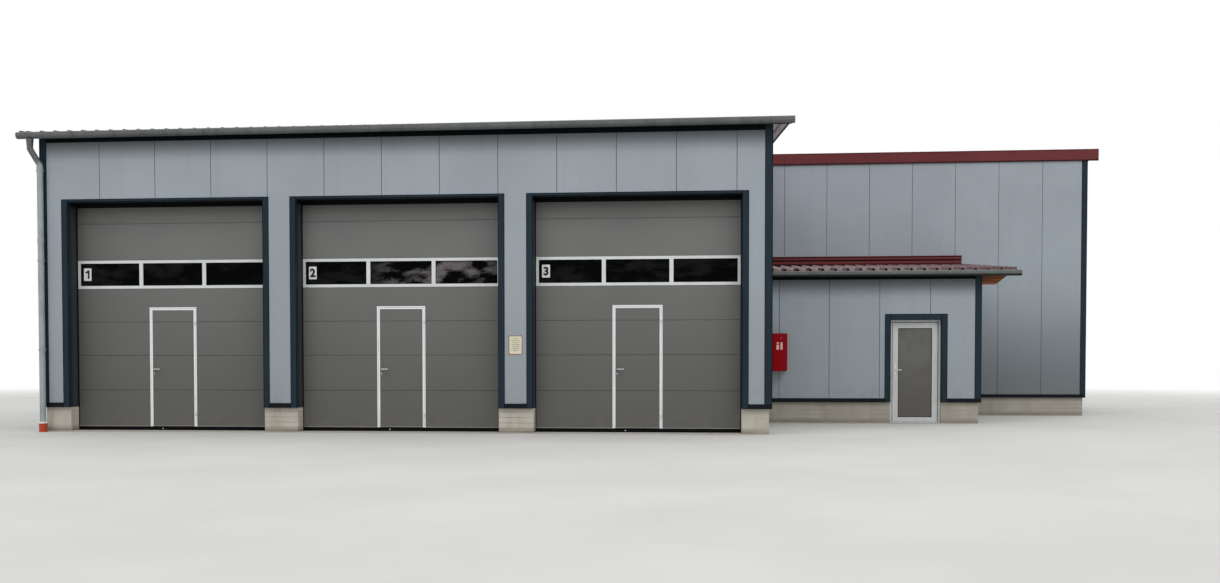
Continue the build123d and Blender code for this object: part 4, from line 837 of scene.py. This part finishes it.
for count, outward, foot in ((12, -1, OVER_GATES), (20, 1, WALL_FOOT)):
    for step in range(count):
        joint_front(HALL_FIRST_JOINT + step, -outward * HALL_FACE, outward, foot, HALL_EAVE_TRIM)
for step in range(7):
    joint_front(REAR_FIRST_JOINT + step, REAR_FACE, -1, WALL_FOOT if step > 3 else OVER_ANNEX, UNDER_FASCIA)
for step in range(4):
    joint_front(ANNEX_FIRST_JOINT + step, ANNEX_FACE, -1, DOOR_TRIM_TOP if step == 3 else WALL_FOOT,
                ANNEX_EAVE_TRIM)
for ys, x_face, outward in ((range(-7, 8), -HALL_SIDE, -1), (range(-7, 0), HALL_SIDE, 1),
                            (range(1, 8), REAR_SIDE, 1)):
    for y in ys:
        joint_side(y, x_face, outward, hall_under(y))
for y in (-3, -2, -1):
    joint_side(y, ANNEX_SIDE, 1, annex_under(y) - (PURLIN_SPACE if y == -2 else 0.0))
piece("wall_joint_seals", joint_forms, "seal", JOINT_SHADE)

# Gates: bottom lines (low, high and the level of the bevel), pane gaskets and number plates
SKIN_FRONT, GLASS_FRONT = -7.720, -7.709
WICKET_HALF, LEAF_HALF, LINE_PROUD, LINE_LIP = 0.425, 0.3755, 0.003, 0.001
GATE_LINE, WICKET_LINE = (0.086, 0.100, 0.096), (0.0915, 0.1045, 0.101)
PANE_LEFT, PANE_PITCH, PANE_WIDTH, PANE_FOOT, PANE_TOP = -1.688, 1.148, 1.080, 2.565, 2.960
GASKET, GASKET_PROUD = 0.006, 0.004
STUD_X, STUD_Z, STUD_RADIUS, STUD_PROUD = -0.205, 0.052, 0.011, 0.004
PLATE_X, PLATE_Z, PLATE_HALF_WIDE, PLATE_HALF_HIGH = -1.565, 2.768, 0.069, 0.110
PLATE_FRONT, DIGIT_FRONT = GLASS_FRONT - 0.003, GLASS_FRONT - 0.0045
line_forms, gasket_forms, plate_forms, stud_forms = [], [], [], []


def foot_line(levels, x0, x1):
    low, high, bevel = levels
    return along_x([(SKIN_FRONT - LINE_PROUD, low), (SKIN_FRONT, low), (SKIN_FRONT, high),
                    (SKIN_FRONT - LINE_LIP, high), (SKIN_FRONT - LINE_PROUD, bevel)], x0, x1)


def border(x0, x1, z0, z1, width, y0, y1):
    """Four bars along the inner edge of a rectangle in the XZ plane, the foot bar first."""
    return [block(x0, x1, y0, y1, z0, z0 + width), block(x0, x1, y0, y1, z1 - width, z1),
            block(x0, x0 + width, y0, y1, z0 + width, z1 - width),
            block(x1 - width, x1, y0, y1, z0 + width, z1 - width)]


for number, centre in enumerate(GATE_CENTRES, 1):
    line_forms += [foot_line(GATE_LINE, centre - HALF_GATE, centre - WICKET_HALF),
                   foot_line(GATE_LINE, centre + WICKET_HALF, centre + HALF_GATE)]
    piece(f"wicket_{number}_foot_line", [foot_line(WICKET_LINE, centre - LEAF_HALF, centre + LEAF_HALF)],
          "aluminium", FOOT_METAL, f"wicket_{number}")
    for step in range(3):
        left = centre + PANE_LEFT + step * PANE_PITCH
        gasket_forms += border(left, left + PANE_WIDTH, PANE_FOOT, PANE_TOP, GASKET,
                               GLASS_FRONT - GASKET_PROUD, GLASS_FRONT)
    middle = centre + PLATE_X
    plate_forms.append(along_y(rounded(middle - PLATE_HALF_WIDE, middle + PLATE_HALF_WIDE,
                                       PLATE_Z - PLATE_HALF_HIGH, PLATE_Z + PLATE_HALF_HIGH, 0.012, 0.012),
                               PLATE_FRONT, GLASS_FRONT))
    stud_forms.append(disc_y(centre + STUD_X, STUD_Z, STUD_RADIUS, SKIN_FRONT - STUD_PROUD, SKIN_FRONT, 16))
piece("gate_foot_lines", line_forms, "aluminium", FOOT_METAL)
piece("pane_gaskets", gasket_forms, "seal")
piece("number_plates", plate_forms, "notice", PALE_PLASTIC)
piece("seal_studs", stud_forms, "white_frame", smooth=True)

# Plain digits: an outline of its own for the 1, Blender's built-in letters for the 2 and the 3
DIGIT_HEIGHT, DIGIT_WEIGHT, DIGIT_DEPTH, DIGIT_STEPS = 0.150, 0.045, 0.06, 5
ONE = [(0.002, -0.075), (0.034, -0.075), (0.034, 0.075), (0.010, 0.075), (-0.040, 0.044), (-0.030, 0.014),
       (0.002, 0.034)]
piece("digit_1", [along_y([(GATE_CENTRES[0] + PLATE_X + x, PLATE_Z + z) for x, z in ONE],
                          DIGIT_FRONT, PLATE_FRONT)], "seal", BLACK_INK)
for number, centre in enumerate(GATE_CENTRES[1:], 2):
    curve = bpy.data.curves.new(f"digit_{number}_curve", "FONT")
    curve.body = str(number)
    curve.offset = DIGIT_WEIGHT
    curve.extrude = DIGIT_DEPTH
    curve.resolution_u = DIGIT_STEPS
    letter = placed(f"digit_{number}_curve", curve)
    bpy.context.view_layer.update()
    mesh = bpy.data.meshes.new_from_object(letter)
    bpy.data.objects.remove(letter)
    bpy.data.curves.remove(curve)
    points = [vertex.co.copy() for vertex in mesh.vertices]
    low = [min(point[axis] for point in points) for axis in range(3)]
    high = [max(point[axis] for point in points) for axis in range(3)]
    scale = DIGIT_HEIGHT / (high[1] - low[1])
    vertices = [(centre + PLATE_X + (point.x - (low[0] + high[0]) / 2) * scale,
                 PLATE_FRONT if point.z < 0 else DIGIT_FRONT,
                 PLATE_Z + (point.y - (low[1] + high[1]) / 2) * scale) for point in points]
    faces = [tuple(polygon.vertices) for polygon in mesh.polygons]
    bpy.data.meshes.remove(mesh)
    piece(f"digit_{number}", [(vertices, faces)], "seal", BLACK_INK)

# Levers on long plates with a keyhole, outside and inside
LEVER_REACH, LEVER_LENGTH, LEVER_RADIUS, LEVER_BEND, LEVER_TIP = 0.045, 0.120, 0.0095, 0.016, 0.003
PLATE_HALF_WIDTH, PLATE_HALF_HEIGHT, PLATE_THICKNESS, PLATE_CORNER = 0.017, 0.118, 0.006, 0.012
LEVER_ROOT, LEVER_END_RADIUS, ROSE_RADIUS, ROSE_FRONT = 0.005, 0.65 * LEVER_RADIUS, 0.0135, 0.009
KEYHOLE_BELOW, KEYHOLE_RADIUS, KEYHOLE_FRONT = 0.072, 0.0065, 0.0105
COVER_HALF, COVER_BELOW, COVER_CORNER, COVER_FRONT = 0.008, 0.020, 0.005, 0.0085
WICKET_LEVER, WICKET_FACES = (-0.3465, 1.095), (SKIN_FRONT, -7.680)
DOOR_LEVER, DOOR_FACES = (9.0965, 1.083), (-3.900, -3.840)


def levers(body, x, z, front, back, plate_material=None):
    """The levers and plates of one leaf, which stand for its CAD handles."""
    plates, bars, node = [], [], f"{body}_handles"
    for face, out in ((front, -1), (back, 1)):
        def between(near, far):
            return face + out * near, face + out * far
        plates.append(along_y(rounded(x - PLATE_HALF_WIDTH, x + PLATE_HALF_WIDTH, z - PLATE_HALF_HEIGHT,
                                      z + PLATE_HALF_HEIGHT, PLATE_CORNER, PLATE_CORNER),
                              *between(0.0, PLATE_THICKNESS)))
        plates.append(disc_y(x, z, ROSE_RADIUS, *between(PLATE_THICKNESS, ROSE_FRONT), 24))
        reach = face + out * LEVER_REACH
        end = x + LEVER_LENGTH - LEVER_TIP
        path = rounded_path([(x, face + out * LEVER_ROOT, z), (x, reach, z), (end, reach, z)], LEVER_BEND)
        path.append(path[-1] + Vector((LEVER_TIP, 0, 0)))
        bars.append(tube(path, [LEVER_RADIUS] * (len(path) - 1) + [LEVER_END_RADIUS], 16))
        low = z - KEYHOLE_BELOW
        bars.append(along_y(rounded(x - COVER_HALF, x + COVER_HALF, low - COVER_BELOW, low + COVER_HALF,
                                    COVER_CORNER, COVER_HALF), *between(PLATE_THICKNESS, COVER_FRONT)))
        bars.append(disc_y(x, low, KEYHOLE_RADIUS, *between(COVER_FRONT, KEYHOLE_FRONT), 16))
    piece(f"{body}_lever_plates", plates, "handle", plate_material, body, (node,), smooth=True)
    piece(f"{body}_levers", bars, "handle", None, body, (node,), smooth=True)


for number, centre in enumerate(GATE_CENTRES, 1):
    levers(f"wicket_{number}", centre + WICKET_LEVER[0], WICKET_LEVER[1], *WICKET_FACES, LEVER_PLATE)
levers("annex_door", *DOOR_LEVER, *DOOR_FACES)

# Annex door: beads round the infill on both faces, and a painted shadow line between frame and sash
INFILL, BEAD, BEAD_FACES = (9.1505, 9.8235, 0.1275, 1.9265), 0.010, ((-3.891, -3.885), (-3.855, -3.849))
piece("annex_door_beads", [bar for ys in BEAD_FACES for bar in border(*INFILL, BEAD, *ys)], "seal",
      body="annex_door")
# The line's outer rectangle and width; it has no foot bar
GAP, GAP_WIDTH, GAP_YS = (9.030, 9.944, 0.033, 2.047), 0.007, (-3.9115, -3.910)
piece("annex_door_gap_shadow", border(*GAP, GAP_WIDTH, *GAP_YS)[1:], "seal", FOAM_AND_SHADOW_BLACK)

# Fire cabinet: door panel, a painted shadow line round it, latch and a plain pale sign
CABINET_FRONT = -4.250
CABINET_DOOR, LATCH_FRONT, SIGN_FRONT = CABINET_FRONT - 0.006, CABINET_FRONT - 0.012, CABINET_FRONT - 0.0075
# Outlines: x from, x to, z from, z to, low and high corner radius; and the latch's pin: x, z, radius
PANEL_FORM, GAP_FORM = (6.569, 6.895, 1.076, 1.803, 0.030, 0.008), (6.563, 6.901, 1.069, 1.809, 0.033, 0.010)
LATCH_FORM, LATCH_PIN = (6.770, 6.800, 1.702, 1.742, 0.010, 0.010), (6.785, 1.722, 0.007)
SIGN_FORMS = ((6.690, 6.742, 1.490, 1.590, 0.010, 0.022), (6.698, 6.734, 1.600, 1.640, 0.008, 0.012),
              (6.770, 6.812, 1.490, 1.640, 0.010, 0.016))
piece("cabinet_door", [along_y(rounded(*PANEL_FORM), CABINET_DOOR, CABINET_FRONT)], "red_paint",
      smooth=True, bevel=0.002)
piece("cabinet_gap_shadow", [along_y(rounded(*GAP_FORM), CABINET_FRONT - 0.0015, CABINET_FRONT)], "red_paint",
      SHADED_RED)
piece("cabinet_latch", [along_y(rounded(*LATCH_FORM), LATCH_FRONT, CABINET_DOOR),
                        disc_y(*LATCH_PIN, LATCH_FRONT - 0.004, LATCH_FRONT)],
      "handle", DULL_LATCH, smooth=True)
piece("cabinet_sign", [along_y(rounded(*form), SIGN_FRONT, CABINET_DOOR) for form in SIGN_FORMS], "notice",
      SIGN_PLASTIC)

# Notice: border and faint lines
NOTICE_FRONT = -8.003
NOTICE, NOTICE_BORDER = (1.930, 2.160, 1.340, 1.660), 0.010
LINES_MIDDLE, LINES_TOP, LINE_PITCH, LINE_HALF = 2.045, 1.610, 0.034, 0.007
LINE_WIDTHS = (0.10, 0.15, 0.13, 0.15, 0.12, 0.14, 0.08)
piece("notice_border", border(*NOTICE, NOTICE_BORDER, NOTICE_FRONT - 0.001, NOTICE_FRONT), "notice",
      BORDER_INK)
notice_forms = []
for row, width in enumerate(LINE_WIDTHS):
    z = LINES_TOP - row * LINE_PITCH
    notice_forms.append(block(LINES_MIDDLE - width / 2, LINES_MIDDLE + width / 2, NOTICE_FRONT - 0.0006,
                              NOTICE_FRONT, z - LINE_HALF, z + LINE_HALF))
piece("notice_lines", notice_forms, "notice", FAINT_INK)

# Floor and backdrop
FLOOR_HALF, FLOOR_FADE = 150.0, (21.0, 55.0)


def stage_floor():
    """A pale floor that fades to the white background far from the building."""
    mesh = bpy.data.meshes.new("floor")
    h = FLOOR_HALF
    mesh.from_pydata([(-h, -h, 0), (h, -h, 0), (h, h, 0), (-h, h, 0)], [], [(0, 1, 2, 3)])
    floor = placed("floor", mesh)
    n = Nodes("floor")
    tone = n.noise(0.5, 4.0)
    n.colour(n.mix(n.span(tone, 0.3, 0.7), (184, 182, 178), (190, 188, 184))).set(roughness=0.9)
    white = n.add("ShaderNodeEmission")
    blend = n.add("ShaderNodeMixShader")
    rays = n.add("ShaderNodeLightPath")
    length = n.add("ShaderNodeVectorMath")
    length.operation = "LENGTH"
    n.link(n.place, length.inputs[0])
    seen = n.math("ADD", rays.outputs["Is Camera Ray"], rays.outputs["Is Glossy Ray"], clamp=True)
    n.link(n.times(n.span(length.outputs["Value"], *FLOOR_FADE), seen), blend.inputs[0])
    n.link(n.shader.outputs["BSDF"], blend.inputs[1])
    n.link(white.outputs[0], blend.inputs[2])
    n.link(blend.outputs[0], n.output.inputs["Surface"])
    mesh.materials.append(n.material)


# Sky strength at the horizon and overhead, its colour, and the lamps: place, aim, size, watts
SKY_LOW, SKY_HIGH, SKY_COLOUR = 0.36, 1.75, (0.92, 0.94, 0.96, 1)
KEY_LAMP = ((-8, -32, 42), (3, -2, 1), (30, 18), 3150)
FILL_LAMP = ((30, -28, 36), (8, -1, 2), (24, 14), 3300)


def add_world():
    """Soft sky light; the camera, glossy and transmitted rays see plain white."""
    world = bpy.data.worlds.new("world")
    world.use_nodes = True
    tree = world.node_tree
    tree.nodes.clear()
    add, link = tree.nodes.new, tree.links.new
    sky, white = add("ShaderNodeBackground"), add("ShaderNodeBackground")
    sky.inputs["Color"].default_value = SKY_COLOUR
    white.inputs["Color"].default_value = (1, 1, 1, 1)
    aim, parts, height = add("ShaderNodeTexCoord"), add("ShaderNodeSeparateXYZ"), add("ShaderNodeMapRange")
    link(aim.outputs["Generated"], parts.inputs[0])
    link(parts.outputs["Z"], height.inputs["Value"])
    height.inputs["To Min"].default_value = SKY_LOW
    height.inputs["To Max"].default_value = SKY_HIGH
    link(height.outputs[0], sky.inputs["Strength"])
    rays = add("ShaderNodeLightPath")
    seen = rays.outputs["Is Camera Ray"]
    for name in ("Is Glossy Ray", "Is Transmission Ray"):
        total = add("ShaderNodeMath")
        total.operation = "ADD"
        total.use_clamp = True
        link(seen, total.inputs[0])
        link(rays.outputs[name], total.inputs[1])
        seen = total.outputs[0]
    blend = add("ShaderNodeMixShader")
    for out, into in zip((seen, sky.outputs[0], white.outputs[0]), blend.inputs):
        link(out, into)
    link(blend.outputs[0], add("ShaderNodeOutputWorld").inputs["Surface"])
    bpy.context.scene.world = world


def add_area(name, at, look_at, size, energy):
    light = bpy.data.lights.new(name, "AREA")
    light.shape = "RECTANGLE"
    light.size, light.size_y = size
    light.energy = energy
    thing = placed(name, light)
    thing.location = at
    thing.rotation_euler = (Vector(look_at) - Vector(at)).to_track_quat("-Z", "Y").to_euler()


def add_camera():
    """The camera of the photograph, with its picture shifted up to the fitted centre."""
    data = bpy.data.cameras.new("camera")
    data.lens = FOCAL_PIXELS / PHOTO_WIDTH * data.sensor_width
    data.shift_y = (HORIZON_CENTRE - PHOTO_HEIGHT / 2) / PHOTO_WIDTH
    data.clip_end = CAMERA_REACH
    camera = placed("camera", data)
    camera.location = CAMERA_AT
    camera.rotation_euler = (math.radians(90 - CAMERA_DOWN), 0, math.radians(CAMERA_LEFT))
    bpy.context.scene.camera = camera


stage_floor()
add_world()
add_area("key", *KEY_LAMP)
add_area("fill", *FILL_LAMP)
add_camera()
bpy.context.scene.view_settings.view_transform = "Standard"
